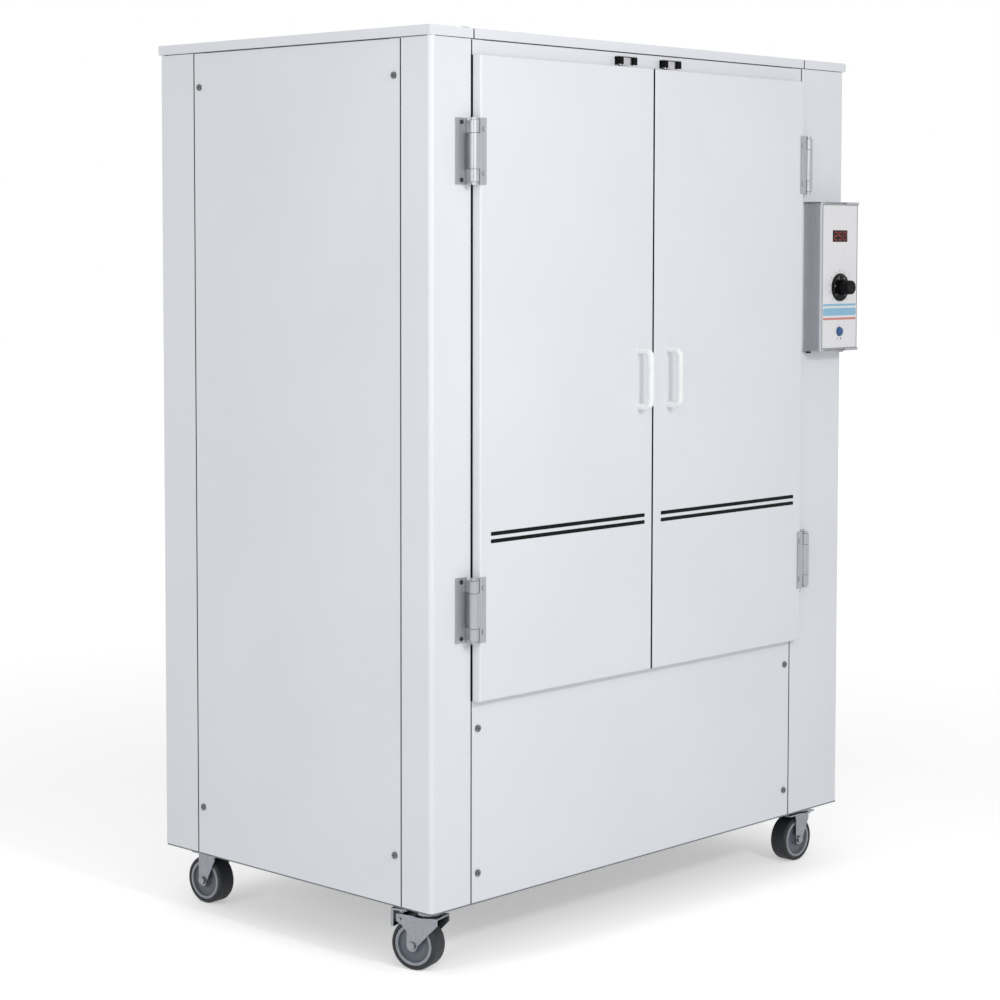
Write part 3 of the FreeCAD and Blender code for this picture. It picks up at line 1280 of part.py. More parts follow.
def control_housing():
    """A fluted box profile on the right post with a cap at each end."""
    x = "control_left"
    low = "control_bottom + control_cap"
    height = "control_height - 2*control_cap"
    block = box("control_block", ("control_width", "control_depth", height), (x, "control_front", low))
    soft = round_edges("control_soft", block, "control_round", upright_at("control_front"))
    tall = f"3*({height})"
    under = f"{low} - ({height})"
    wall = "control_wall"
    depth = "control_depth - control_wall - control_front_wall"
    edge = "panel_margin + panel_ledge"
    cuts = [
        box("control_hollow", (f"control_width - 2*{wall}", depth, tall),
            (f"{x} + {wall}", "control_front + control_front_wall", under)),
        box("control_recess", ("control_width - 2*panel_margin", "2*panel_sheet", tall),
            (f"{x} + panel_margin", "control_front - panel_sheet", under)),
        box("control_window", (f"control_width - 2*({edge})", "2*control_front_wall", tall),
            (f"{x} + {edge}", "control_front", under)),
    ]
    for side, groove_x in (("left", f"{x} - {wall}/2"), ("right", f"{x} + control_width - {wall}/2")):
        for n in range(FLUTES):
            y = f"control_front + control_round + control_groove_pitch*{n} + control_groove"
            size = (wall, "control_groove", tall)
            cuts.append(box(f"control_flute_{side}_{n}", size, (groove_x, y, under)))
    pieces = [cut("control_profile", soft, *cuts)]
    for end, z in (("low", "control_bottom"), ("top", f"{low} + {height}")):
        pieces.append(control_cap(f"control_{end}", z))
    subpart("control_housing", group("control_shells", pieces))


def panel_opening(width, height, z, play):
    """A rectangular opening in the front panel, or the piece that fills it."""
    wide = f"{width} + 2*({play})"
    tall = f"{height} + 2*({play})"
    return (wide, tall), (f"control_middle - ({wide})/2", f"{z} - ({tall})/2")


def control_panel():
    """The white front panel, let into the box."""
    low = "control_bottom + control_cap"
    width = "control_width - 2*panel_margin - 2*panel_play"
    flat = box("panel_flat", (width, "panel_sheet", "control_height - 2*control_cap"),
               ("control_left + panel_margin + panel_play", "control_front", low))
    (wide, tall), (x, z) = panel_opening("display_width", "display_height", "display_z", "panel_play")
    deep = "3*panel_sheet"
    start = "control_front - panel_sheet"
    middle = ("control_middle", start)
    cuts = [
        box("panel_display", (wide, deep, tall), (x, start, z)),
        rod("panel_knob", "knob_shaft + shaft_fit", deep, (*middle, "knob_z"), "Y"),
        rod("panel_switch", "switch_radius + switch_play", deep, (*middle, "switch_z"), "Y"),
    ]
    subpart("control_panel", cut("panel", flat, *cuts))


def display_window():
    """The dark window over the temperature display."""
    (wide, tall), (x, z) = panel_opening("display_width", "display_height", "display_z", "0")
    subpart("display_window", box("window", (wide, "2*panel_sheet", tall), (x, "control_front", z)))


def temperature_knob():
    """A skirted dial knob with a fluted grip and its shaft."""
    stem = "-knob_shaft_length"
    points = [
        ("0", stem), ("knob_shaft", stem), ("knob_shaft", "0"),
        ("knob_skirt", "0"), ("knob_skirt", "knob_skirt_height - knob_bevel"),
        ("knob_skirt - 2*knob_bevel", "knob_skirt_height"), ("knob_grip", "knob_skirt_height"),
        ("knob_grip_end", "knob_height - knob_bevel"), ("knob_grip_end - knob_bevel", "knob_height"),
        ("0", "knob_height"),
    ]
    base_y = "control_front - knob_gap"
    knob = turned("knob", points, "Y", ("control_middle", base_y, "knob_z"), "180")
    count = round(value("knob_flutes"))
    flutes = []
    for n in range(count):
        turn = f"{n}*360/{count}"
        at = (f"control_middle + knob_grip*cos({turn})", f"{base_y} - 2*knob_height",
              f"knob_z + knob_grip*sin({turn})")
        length = "2*knob_height - knob_skirt_height - knob_bevel"
        flutes.append(rod(f"knob_flute_{n}", "knob_flute", length, at, "Y"))
    subpart("temperature_knob", cut("knob_fluted", knob, *flutes))


def power_switch():
    """A round rocker in its off place, with a round back that it tips on.

    Its lower face is upright and its upper face leans out.
    """
    at = ("control_middle", "control_front + panel_sheet/2", "switch_z")
    drum = ball("switch_drum", "switch_radius", at)
    points = [
        ("0", "-switch_radius"), ("0", "switch_radius"),
        ("-switch_reach - switch_radius*tan(switch_tilt)", "switch_radius"),
        ("-switch_reach", "0"), ("-switch_reach", "-switch_radius"),
    ]
    faces = plate("switch_side_view", "YZ_Plane", points, "2*switch_radius", at)
    back = rod("switch_round_back", "switch_back", "2*switch_radius", step(at, "X", "-switch_radius"), "X")
    rocker = doc.addObject("Part::MultiCommon", "rocker")
    rocker.Shapes = [drum, fuse("switch_faces", faces, back)]
    subpart("power_switch", rocker)


def cable_glands():
    """Two glands under the control box, and the mains gland on the rear panel."""
    pieces = []
    for n, sign in enumerate((-1, 1)):
        x = f"control_middle + ({sign})*gland_pitch/2"
        at = (x, "front - gland_out", "control_bottom - gland_height")
        pieces.append(rod(f"gland_{n}", "gland_radius", "gland_height", at))
    spot = ("right - mains_inset", "rear", "bottom + mains_rise")
    dome = rod("mains_dome", "mains_radius", "mains_reach", spot, "Y")
    stub = rod("mains_thread", "mains_stub", "mains_reach", step(spot, "Y", "-mains_reach/2"), "Y")
    hole = rod("mains_bore_cut", "mains_bore", "4*mains_reach", step(spot, "Y", "-2*mains_reach"), "Y")
    pieces.append(cut("mains_gland", fuse("mains_body", dome, stub), hole))
    subpart("cable_glands", group("glands", pieces))


# Casters
def caster_plates():
    """Top plates with their ball race and kingpin."""
    plates = []
    for corner, (x, y, _) in CASTERS.items():
        name = f"{corner}_plate"
        race_low = "plate_low - race_height"
        pin_low = "fork_top - fork_sheet - race_gap"
        pieces = [
            box(f"{name}_flat", ("plate_side", "plate_side", "plate_sheet"),
                (f"{x} - plate_side/2", f"{y} - plate_side/2", "plate_low")),
            rod(f"{name}_race", "race_radius", "race_height", (x, y, race_low)),
            rod(f"{name}_neck", "race_neck", "race_neck_height", (x, y, f"{race_low} - race_neck_height")),
            rod(f"{name}_kingpin", "kingpin", f"plate_low - ({pin_low})", (x, y, pin_low)),
            rod(f"{name}_nut", "kingpin_nut", "kingpin_nut_height",
                (x, y, f"{pin_low} - kingpin_nut_height")),
        ]
        holes = [screw_hole(f"{name}_hole_{n}", spot, "under", "bolt_radius", "bolt_length")
                 for n, spot in enumerate(bolt_places(corner))]
        plates.append(cut(name, fuse(f"{name}_solid", *pieces), *holes))
    subpart("caster_plates", group("plates", plates))


def in_caster(corner, across, along):
    """A place on a caster: across its wheel and along its trail from the pivot."""
    x, y, turn = CASTERS[corner]
    return (f"{x} + ({across})*cos({turn}) - ({along})*sin({turn})",
            f"{y} + ({across})*sin({turn}) + ({along})*cos({turn})")


def caster_fork(corner):
    """A folded fork: a crown under the ball race and a leg each side of the wheel, with the axle."""
    x, y, turn = CASTERS[corner]
    name = f"{corner}_fork"
    crown_low = "fork_top - fork_sheet"
    crown_rear = "fork_crown_rear" if corner in BRAKED else "fork_cover"
    pieces = [
        rod(f"{name}_crown", "fork_crown", "fork_sheet", ("0", "0", crown_low)),
        box(f"{name}_bridge", ("fork_width", f"fork_front + {crown_rear}", "fork_sheet"),
            ("-fork_width/2", "-fork_front", crown_low)),
    ]
    heel = "caster_trail + fork_foot"
    edge = "-fork_front" if corner in BRAKED else "-fork_slim"
    leg = [("caster_trail - fork_foot", "wheel_radius"), (edge, "fork_top - fork_knee_drop"),
           (edge, "fork_top")]
    if corner in BRAKED:
        leg += [("fork_rear", "fork_top"), ("fork_rear", "fork_top - fork_heel_drop"),
                (f"({heel} + fork_rear)/2", "fork_top - (fork_heel_drop + fork_hollow_drop)/2 + fork_sheet"),
                (heel, "fork_top - fork_hollow_drop")]
    else:
        leg.append((heel, "fork_top"))
    leg.append((heel, "wheel_radius"))
    for side, sign in (("left", -1), ("right", 1)):
        middle = f"({sign})*(fork_width - fork_sheet)/2"
        pieces.append(plate(f"{name}_{side}_leg", "YZ_Plane", leg, "fork_sheet", (middle, "0", "0")))
        pieces.append(rod(f"{name}_{side}_foot", "fork_foot", "fork_sheet",
                          (f"{middle} - fork_sheet/2", "caster_trail", "wheel_radius"), "X"))
    holes = [
        rod(f"{name}_kingpin_hole", "kingpin + kingpin_fit", "4*fork_sheet",
            ("0", "0", "fork_top - 2*fork_sheet")),
        rod(f"{name}_axle_hole", "axle_radius + axle_fit", "2*fork_width",
            ("-fork_width", "caster_trail", "wheel_radius"), "X"),
    ]
    if corner in BRAKED:
        holes.append(rod(f"{name}_brake_hole", "brake_pin + axle_fit", "2*fork_width",
                         ("-fork_width", "brake_pin_back", "brake_pin_z"), "X"))
    solids = [cut(f"{name}_sheet", fuse(f"{name}_solid", *pieces), *holes), caster_axle(name)]
    if corner in BRAKED:
        solids.append(rod(f"{name}_brake_pin", "brake_pin", "fork_width + 2*fork_sheet",
                          ("-fork_width/2 - fork_sheet", "brake_pin_back", "brake_pin_z"), "X"))
    subpart(f"caster_{corner}_fork", place(group(name, solids), (x, y, "0"), turn))


def caster_axle(name):
    """A wheel's axle with a head at each end."""
    half = "fork_width/2 + axle_head_height"
    at = (f"-({half})", "caster_trail", "wheel_radius")
    shaft = rod(f"{name}_axle_shaft", "axle_radius", f"2*({half})", at, "X")
    heads = [rod(f"{name}_axle_head_{n}", "axle_head", "axle_head_height", (x, *at[1:]), "X")
             for n, x in enumerate((at[0], "fork_width/2"))]
    return fuse(f"{name}_axle", shaft, *heads)


def caster_wheel(corner):
    """A dished plastic hub with a rubber tyre round it."""
    turn = CASTERS[corner][2]
    at = (*in_caster(corner, "0", "caster_trail"), "wheel_radius")
    half = "wheel_width/2"
    boss = "fork_width/2 - fork_sheet - wheel_play"
    dish = f"{half} - wheel_dish"
    bore_radius = "axle_radius + axle_fit"
    ring = f"{half} - wheel_lip"
    seat = (f"{half} - 2*wheel_lip", "wheel_rim")
    hub_side = [
        (boss, bore_radius), (boss, "wheel_boss"),
        (dish, "wheel_boss + wheel_slope"), (dish, "wheel_ring - wheel_slope"),
        (ring, "wheel_ring"), (ring, "wheel_rim - wheel_lip"), seat,
    ]
    tyre_side = [
        seat, (half, "wheel_rim + wheel_lip"), (half, "wheel_radius - wheel_shoulder"),
        (f"{half} - wheel_shoulder/3", "wheel_radius - wheel_shoulder/3"),
        (f"{half} - wheel_shoulder", "wheel_radius"),
    ]
    for piece, profile in (("hub", hub_side), ("tyre", tyre_side)):
        other = [(f"-({x})", radius) for x, radius in reversed(profile)]
        name = f"{corner}_{piece}"
        subpart(f"caster_{corner}_{piece}", turned(name, profile + other, "X", at, turn))


BRAKED = ("front_left",)


def brake_pedal(corner):
    """A pedal on a pin across the fork, whose shoe comes down on the tyre."""
    x, y, turn = CASTERS[corner]
    name = f"{corner}_brake"
    top = "fork_top + brake_rise + brake_sheet"

    def slab(part, near, far, low):
        return box(f"{name}_{part}", ("brake_width", f"({far}) - ({near})", f"{top} - ({low})"),
                   ("-brake_width/2", near, low))
    tread = slab("tread", "brake_front", "brake_rear", f"{top} - brake_sheet")
    shoe = slab("shoe", "brake_rear - brake_shoe", "brake_rear", "fork_top - brake_shoe_drop")
    boss = slab("boss", "brake_pin_back - brake_boss/2", "brake_pin_back + brake_boss/2",
                "fork_top - brake_boss_drop")
    hole = rod(f"{name}_hole", "brake_pin + axle_fit", "2*fork_width",
               ("-fork_width", "brake_pin_back", "brake_pin_z"), "X")
    pedal = cut(name, fuse(f"{name}_solid", tread, shoe, boss), hole)
    subpart(f"caster_{corner}_brake_pedal", place(pedal, (x, y, "0"), turn))


# Fasteners
def cabinet_screws():
    """All screws of the panels and the hinges' frame leaves, and the casters' bolts."""
    screws = []
    for face, spots in PANEL_SCREWS.items():
        screws += [screw(f"{face}_screw_{n}", spot, face) for n, spot in enumerate(spots)]
    for side in ("left", "right"):
        screws += [screw(f"{side}_frame_screw_{n}", spot, "front", *LEAF_HEAD)
                   for n, spot in enumerate(leaf_screws(side, "frame"))]
    for corner in CASTERS:
        screws += [screw(f"bolt_{corner}_{n}", spot, "under", *BOLT)
                   for n, spot in enumerate(bolt_places(corner))]
    subpart("cabinet_screws", group("screws", screws))


def build():
    """Make every sub-part."""
    base_frame()
    corner_posts()
    side_panels()
    lower_front_panel()
    door_header()
    rear_panel()
    top_covers()
    support_deck()
    chamber_liner()
    chamber_insulation()
    door_gasket()
    shelf_uprights()
    wire_shelves()
    plenum_cover()
    heater_element()
    fan_motor()
    fan_impeller()
    temperature_probe()
    exhaust_collar()
    exhaust_damper()
    for side in ("left", "right"):
        door_skin(side)
        door_inner_pan(side)
        door_insulation(side)
        handle(side)
    hinges()
    catches()
    control_housing()
    control_panel()
    display_window()
    temperature_knob()
    power_switch()
    cable_glands()
    caster_plates()
    for corner in CASTERS:
        caster_fork(corner)
        caster_wheel(corner)
    for corner in BRAKED:
        brake_pedal(corner)
    cabinet_screws()
    doc.recompute()


def check():
    """Stop if an object failed or a sub-part has no sound shape."""
    for thing in doc.Objects:
        if "Invalid" in thing.State or "Error" in thing.State:
            raise RuntimeError(f"{thing.Label} failed: {thing.State}")
    for thing in SUBPARTS:
        if thing.Shape.isNull() or not thing.Shape.isValid() or not thing.Shape.Solids:
            raise RuntimeError(f"{thing.Label} has no sound shape")


def export():
    """Write each sub-part to its own file."""
    os.makedirs("parts", exist_ok=True)
    for thing in SUBPARTS:
        thing.Shape.exportStep(f"parts/{thing.Label}.step")


build()
check()
export()
print(f"{len(SUBPARTS)} sub-parts written")
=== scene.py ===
"""Laboratory drying oven: materials, printed marks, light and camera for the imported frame.

Metres, +Z up, the front faces -Y.
"""
import json
import math

import bmesh
import bpy
from mathutils import Matrix, Vector


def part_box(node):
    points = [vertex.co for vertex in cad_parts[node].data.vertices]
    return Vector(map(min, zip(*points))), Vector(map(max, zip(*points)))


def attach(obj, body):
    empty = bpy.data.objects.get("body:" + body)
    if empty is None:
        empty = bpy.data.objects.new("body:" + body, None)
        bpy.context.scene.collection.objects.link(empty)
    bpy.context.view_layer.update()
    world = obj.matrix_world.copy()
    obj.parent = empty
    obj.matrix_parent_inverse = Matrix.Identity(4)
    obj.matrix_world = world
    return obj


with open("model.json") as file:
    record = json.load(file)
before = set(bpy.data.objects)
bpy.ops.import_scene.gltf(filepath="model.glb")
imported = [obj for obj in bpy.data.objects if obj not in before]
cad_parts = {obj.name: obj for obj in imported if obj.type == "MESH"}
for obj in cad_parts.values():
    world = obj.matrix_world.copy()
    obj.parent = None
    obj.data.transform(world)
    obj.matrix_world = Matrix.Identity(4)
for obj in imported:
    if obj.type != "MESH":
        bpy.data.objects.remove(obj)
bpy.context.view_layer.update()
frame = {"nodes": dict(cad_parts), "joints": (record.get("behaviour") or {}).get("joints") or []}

MM = 0.001
UP = Vector((0, 0, 1))
NODES = frame["nodes"]
JOINTS = {joint["name"]: joint for joint in frame["joints"]}
CORNERS = ("front_left", "front_right", "rear_left", "rear_right")
SIDES = ("left", "right")


# Building blocks of the materials
def surface(name, colour, roughness, metallic=0.0):
    """A new node material with a plain surface, ready for its textures."""
    made = bpy.data.materials.new(name)
    made.use_nodes = True
    shader = made.node_tree.nodes["Principled BSDF"]
    shader.inputs["Base Color"].default_value = (*colour, 1)
    shader.inputs["Roughness"].default_value = roughness
    shader.inputs["Metallic"].default_value = metallic
    return made


def shader_of(material):
    """The surface node of a material."""
    return material.node_tree.nodes["Principled BSDF"]


def add_node(material, kind, **inputs):
    """A new node with some of its inputs set or linked."""
    node = material.node_tree.nodes.new(kind)
    for name, given in inputs.items():
        socket = node.inputs[name.replace("_", " ")]
        if isinstance(given, bpy.types.NodeSocket):
            material.node_tree.links.new(given, socket)
        else:
            socket.default_value = given
    return node


def noise(material, scale, stretch=(1, 1, 1), detail=3.0):
    """Noise over the object's own coordinates; scale is in waves per metre."""
    place = add_node(material, "ShaderNodeTexCoord").outputs["Object"]
    stretched = add_node(material, "ShaderNodeMapping", Vector=place, Scale=stretch).outputs["Vector"]
    made = add_node(material, "ShaderNodeTexNoise", Vector=stretched, Scale=scale, Detail=detail)
    return made.outputs["Fac"]


def cells(material, scale):
    """Flat cells of random grey over the object's own coordinates."""
    place = add_node(material, "ShaderNodeTexCoord").outputs["Object"]
    return add_node(material, "ShaderNodeTexVoronoi", Vector=place, Scale=scale).outputs["Color"]


def remap(material, given, low, high, start=0.3, end=0.7):
    """A factor spread over a new range."""
    spread = {"Value": given, "From_Min": start, "From_Max": end, "To_Min": low, "To_Max": high}
    return add_node(material, "ShaderNodeMapRange", **spread).outputs["Result"]


def colours(material, given, first, second, start=0.3, end=0.7):
    """Blend the base colour between two colours."""
    ramp = add_node(material, "ShaderNodeValToRGB", Fac=given)
    ramp.color_ramp.elements[0].position = start
    ramp.color_ramp.elements[1].position = end
    ramp.color_ramp.elements[0].color = (*first, 1)
    ramp.color_ramp.elements[1].color = (*second, 1)
    material.node_tree.links.new(ramp.outputs["Color"], shader_of(material).inputs["Base Color"])


def roughness(material, given, middle, smoother, rougher):
    """Spread the roughness to both sides of a middle value."""
    spread = remap(material, given, middle - smoother, middle + rougher)
    material.node_tree.links.new(spread, shader_of(material).inputs["Roughness"])


def bump(material, given, depth):
    """Raise and sink the surface by a depth in metres."""
    relief = add_node(material, "ShaderNodeBump", Height=given, Distance=depth, Strength=1.0)
    material.node_tree.links.new(relief.outputs["Normal"], shader_of(material).inputs["Normal"])


def painted_corner_shade(material, reach, depth, alone=True):
    """Paint shade into the base colour, darker in corners within a reach in metres; alone leaves out other
    pieces.
    """
    shade = add_node(material, "ShaderNodeAmbientOcclusion", Distance=reach)
    shade.only_local = alone
    # Painted shade: the occlusion factor darkens the base colour where shade would fall
    dark = remap(material, shade.outputs["AO"], 1.0 - depth, 1.0, start=0.3, end=0.9)
    socket = shader_of(material).inputs["Base Color"]
    shaded_colour = add_node(material, "ShaderNodeVectorMath")
    shaded_colour.operation = "MULTIPLY"
    material.node_tree.links.new(socket.links[0].from_socket, shaded_colour.inputs[0])
    material.node_tree.links.new(dark, shaded_colour.inputs[1])
    material.node_tree.links.new(shaded_colour.outputs["Vector"], socket)


# Kinds of surface; depths are in metres
PEEL_DEPTH = 0.00003
SCRATCH_DEPTH = 0.00002
CRYSTAL_DEPTH = 0.00001
GRAIN_DEPTH = 0.00002
FIBRE_DEPTH = 0.0008
WOOL_ROUGHNESS = 0.95
LIT_ROUGHNESS = 0.4
LIT_MOTTLE = 0.7


def powder_coat(name, pale, dull, gloss, peel=PEEL_DEPTH):
    """Baked powder coat: a fine orange-peel skin with faint cloudy shading."""
    made = surface(name, pale, gloss)
    colours(made, noise(made, scale=4.0), dull, pale)
    roughness(made, noise(made, scale=60.0), gloss, smoother=0.05, rougher=0.07)
    bump(made, noise(made, scale=900.0, detail=1.0), peel)
    return made


def brushed(name, pale, dull, gloss, stretch, metal=1.0):
    """Brushed metal: long fine scratches along one axis."""
    made = surface(name, pale, gloss, metal)
    grain = noise(made, scale=1.0, stretch=stretch, detail=2.0)
    colours(made, grain, dull, pale)
    roughness(made, grain, gloss, smoother=0.06, rougher=0.10)
    bump(made, grain, SCRATCH_DEPTH)
    return made


def plated(name, pale, dull, gloss):
    """Zinc or bright plating: small crystals and cloudy stains."""
    made = surface(name, pale, gloss, metallic=1.0)
    colours(made, cells(made, scale=260.0), dull, pale, start=0.0, end=1.0)
    roughness(made, noise(made, scale=90.0), gloss, smoother=0.06, rougher=0.12)
    bump(made, noise(made, scale=700.0), CRYSTAL_DEPTH)
    return made


def plastic(name, pale, dull, gloss, grain=1200.0, depth=GRAIN_DEPTH, shine=0.5):
    """Moulded plastic, rubber, film or print: a fine grained skin."""
    made = surface(name, pale, gloss)
    shader_of(made).inputs["Specular IOR Level"].default_value = shine
    colours(made, noise(made, scale=35.0), dull, pale)
    roughness(made, noise(made, scale=120.0), gloss, smoother=0.06, rougher=0.08)
    bump(made, noise(made, scale=grain, detail=2.0), depth)
    return made


def fibres(name, pale, dull):
    """Mineral wool: tangled fibres."""
    made = surface(name, pale, WOOL_ROUGHNESS)
    colours(made, noise(made, scale=120.0, stretch=(1, 1, 6), detail=6.0), dull, pale)
    bump(made, noise(made, scale=400.0, stretch=(1, 1, 4), detail=6.0), FIBRE_DEPTH)
    return made


def glow(name, colour, strength):
    """A lit segment with a faint mottle."""
    made = surface(name, colour, LIT_ROUGHNESS)
    colours(made, noise(made, scale=900.0), [share * LIT_MOTTLE for share in colour], colour)
    shader_of(made).inputs["Emission Color"].default_value = (*colour, 1)
    shader_of(made).inputs["Emission Strength"].default_value = strength
    return made


# Materials: paler colour, duller colour, roughness
ALONG_X = (6, 900, 900)
ALONG_Z = (900, 900, 6)
WHITE = powder_coat("white powder coat", (0.79, 0.81, 0.85), (0.765, 0.785, 0.825), 0.36)
# The handles' own glossier white lacquer, made paler than the door paint to paint in the extra light the
# handles catch
HANDLE_LACQUER_LIT = powder_coat("white handle lacquer with painted light", (0.90, 0.90, 0.91), (0.87, 0.87, 0.88), 0.25)
GREY_PAINT = powder_coat("grey frame paint", (0.20, 0.21, 0.23), (0.16, 0.17, 0.19), 0.45)
PANEL_WHITE = powder_coat("white control panel", (0.82, 0.82, 0.84), (0.80, 0.80, 0.82), 0.30,
                          peel=0.000008)
BOX_GREY = brushed("grey anodised box", (0.47, 0.485, 0.515), (0.43, 0.445, 0.475), 0.42, ALONG_Z,
                   metal=0.35)
STAINLESS = brushed("brushed stainless", (0.57, 0.575, 0.59), (0.47, 0.475, 0.49), 0.36, ALONG_Z)
HINGE_STEEL = brushed("satin hinge steel", (0.48, 0.495, 0.525), (0.38, 0.395, 0.42), 0.30, ALONG_Z,
                      metal=0.45)
LINER = brushed("stainless liner", (0.60, 0.60, 0.60), (0.50, 0.50, 0.51), 0.34, ALONG_X)
ZINC = plated("zinc plate", (0.31, 0.325, 0.35), (0.27, 0.285, 0.31), 0.30)
DULL_PLATE = plated("dull nickel plate", (0.58, 0.58, 0.59), (0.51, 0.51, 0.53), 0.24)
CHROME = plated("bright plate", (0.72, 0.72, 0.73), (0.62, 0.62, 0.64), 0.14)
SCREW_STEEL = plated("screw steel", (0.19, 0.195, 0.205), (0.15, 0.155, 0.165), 0.22)
HEATER = plated("heat darkened steel", (0.20, 0.18, 0.17), (0.12, 0.11, 0.11), 0.42)
WOOL = fibres("mineral wool", (0.62, 0.54, 0.34), (0.42, 0.35, 0.20))
# Grey silicone: the door gasket's own colour, and also the painted shadow strip under the top covers
SILICONE_AND_SHADE = plastic("grey silicone and painted shade", (0.10, 0.10, 0.105), (0.07, 0.07, 0.075), 0.6)
BLACK = plastic("black plastic", (0.006, 0.006, 0.007), (0.004, 0.004, 0.005), 0.30, shine=0.10)
ROLLER_BLACK = plastic("black roller", (0.005, 0.005, 0.006), (0.003, 0.003, 0.004), 0.4, shine=0.06)
SOFT_BLACK = plastic("soft black plastic", (0.018, 0.018, 0.020), (0.010, 0.010, 0.011), 0.5, shine=0.3)
BLUE = plastic("blue switch", (0.012, 0.085, 0.26), (0.008, 0.055, 0.18), 0.28)
WINDOW = plastic("display window", (0.006, 0.004, 0.004), (0.004, 0.003, 0.003), 0.12, grain=300.0,
                 depth=0.000002, shine=0.2)
HUB = plastic("grey hub", (0.130, 0.148, 0.176), (0.100, 0.115, 0.138), 0.42)
HUB_RING = plastic("pale hub ring", (0.34, 0.36, 0.39), (0.27, 0.29, 0.32), 0.4)
TYRE = plastic("tyre rubber", (0.027, 0.029, 0.035), (0.019, 0.020, 0.024), 0.62, grain=1500.0,
               depth=0.00005)
# Black film: the doors' real stripes, and also the painted shade strips in the gaps and seams
STRIPE_AND_SHADE_FILM = plastic("black film for stripes and painted shade", (0.005, 0.005, 0.006), (0.003, 0.003, 0.004), 0.35, shine=0.08)
PRINT_BLUE = plastic("pale blue print", (0.27, 0.53, 0.71), (0.24, 0.49, 0.67), 0.38)
PRINT_RED = plastic("coral print", (0.66, 0.24, 0.22), (0.60, 0.21, 0.19), 0.38)
# Dark print for the panel's border and marks, and also painted shade for the screws' cross slots
DARK_PRINT_AND_SLOT_SHADE = plastic("dark print and painted slot shade", (0.05, 0.05, 0.06), (0.035, 0.035, 0.04), 0.5)
PRINT_WHITE = plastic("white print", (0.42, 0.42, 0.42), (0.34, 0.34, 0.34), 0.5)
RED_GLOW = glow("lit red segment", (0.26, 0.007, 0.009), strength=0.16)
# Painted shade in the bare metals' corners, and round the screw heads where the panels beside them stand
# close
for bare_metal in (HINGE_STEEL, ZINC, DULL_PLATE):
    painted_corner_shade(bare_metal, reach=3 * MM, depth=0.45)
painted_corner_shade(SCREW_STEEL, reach=4 * MM, depth=0.85, alone=False)

# What each solid is made of
DRESS = {
    WHITE: ["corner_posts", "side_panels", "lower_front_panel", "rear_panel", "door_header", "top_covers",
            "left_door_skin", "right_door_skin"],
    HANDLE_LACQUER_LIT: ["left_door_handle", "right_door_handle"],
    GREY_PAINT: ["base_frame", "support_deck", "fan_motor"],
    ZINC: ["caster_plates", "caster_front_left_brake_pedal"]
    + [f"caster_{corner}_fork" for corner in CORNERS],
    SCREW_STEEL: ["cabinet_screws"],
    STAINLESS: ["exhaust_collar", "exhaust_damper", "shelf_uprights", "fan_impeller", "temperature_probe"],
    HINGE_STEEL: ["hinge_frame_leaves", "hinge_pins", "left_door_hinge_leaves", "right_door_hinge_leaves"],
    LINER: ["chamber_liner", "left_door_inner_pan", "right_door_inner_pan", "plenum_cover"],
    CHROME: ["wire_shelves"],
    DULL_PLATE: ["catch_brackets", "left_door_strike", "right_door_strike"],
    HEATER: ["heater_element"],
    WOOL: ["chamber_insulation", "left_door_insulation", "right_door_insulation"],
    SILICONE_AND_SHADE: ["door_gasket"],
    BOX_GREY: ["control_housing"],
    PANEL_WHITE: ["control_panel"],
    WINDOW: ["display_window"],
    BLACK: ["temperature_knob"],
    SOFT_BLACK: ["cable_glands"],
    ROLLER_BLACK: [f"{side}_catch_{place}_roller" for side in SIDES for place in SIDES],
    BLUE: ["power_switch"],
    HUB: [f"caster_{corner}_hub" for corner in CORNERS],
    TYRE: [f"caster_{corner}_tyre" for corner in CORNERS],
}
for material, names in DRESS.items():
    for name in names:
        mesh = NODES[name].data
        mesh.materials.clear()
        mesh.materials.append(material)

# Softened edges, as folded and pressed metal has; widths are in millimetres
EDGE_ANGLE = math.radians(40)
EDGE_SEGMENTS = 2
SOFT_EDGES = {"top_covers": 1.0, "side_panels": 0.6, "lower_front_panel": 0.6, "control_housing": 0.5,
              "hinge_frame_leaves": 0.4, "left_door_hinge_leaves": 0.4, "right_door_hinge_leaves": 0.4,
              "catch_brackets": 0.3, "left_door_strike": 0.3, "right_door_strike": 0.3, "caster_plates": 0.5,
              "caster_front_left_brake_pedal": 1.2, "cabinet_screws": 1.4, "hinge_pins": 0.6}
SOFT_EDGES.update({f"caster_{corner}_fork": 0.5 for corner in CORNERS})
for name, width in SOFT_EDGES.items():
    soft = NODES[name].modifiers.new("soft edges", "BEVEL")
    soft.width = width * MM
    soft.segments = EDGE_SEGMENTS
    soft.limit_method = "ANGLE"
    soft.angle_limit = EDGE_ANGLE
    soft.harden_normals = True


# Thin pieces that lie on the solids
def keep(name, mesh, body, material):
    """Put a mesh in the scene, on a body."""
    piece = bpy.data.objects.new(name, mesh)
    bpy.context.scene.collection.objects.link(piece)
    piece.data.materials.append(material)
    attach(piece, body)


def closed_mesh(name, work):
    """The mesh of finished faces, all turned outward."""
    bmesh.ops.recalc_face_normals(work, faces=work.faces)
    mesh = bpy.data.meshes.new(name)
    work.to_mesh(mesh)
    work.free()
    return mesh


def flat_piece(name, outlines, place, thickness, body, material):
    """Thin plates from outlines on a plane; place turns (across, up, out) into a point."""
    work = bmesh.new()
    for outline in outlines:
        back = [work.verts.new(place(across, up, 0)) for across, up in outline]
        face = [work.verts.new(place(across, up, thickness)) for across, up in outline]
        work.faces.new(face)
        work.faces.new(back[::-1])
        count = len(outline)
        for n in range(count):
            follow = (n + 1) % count
            work.faces.new((back[n], back[follow], face[follow], face[n]))
    keep(name, closed_mesh(name, work), body, material)


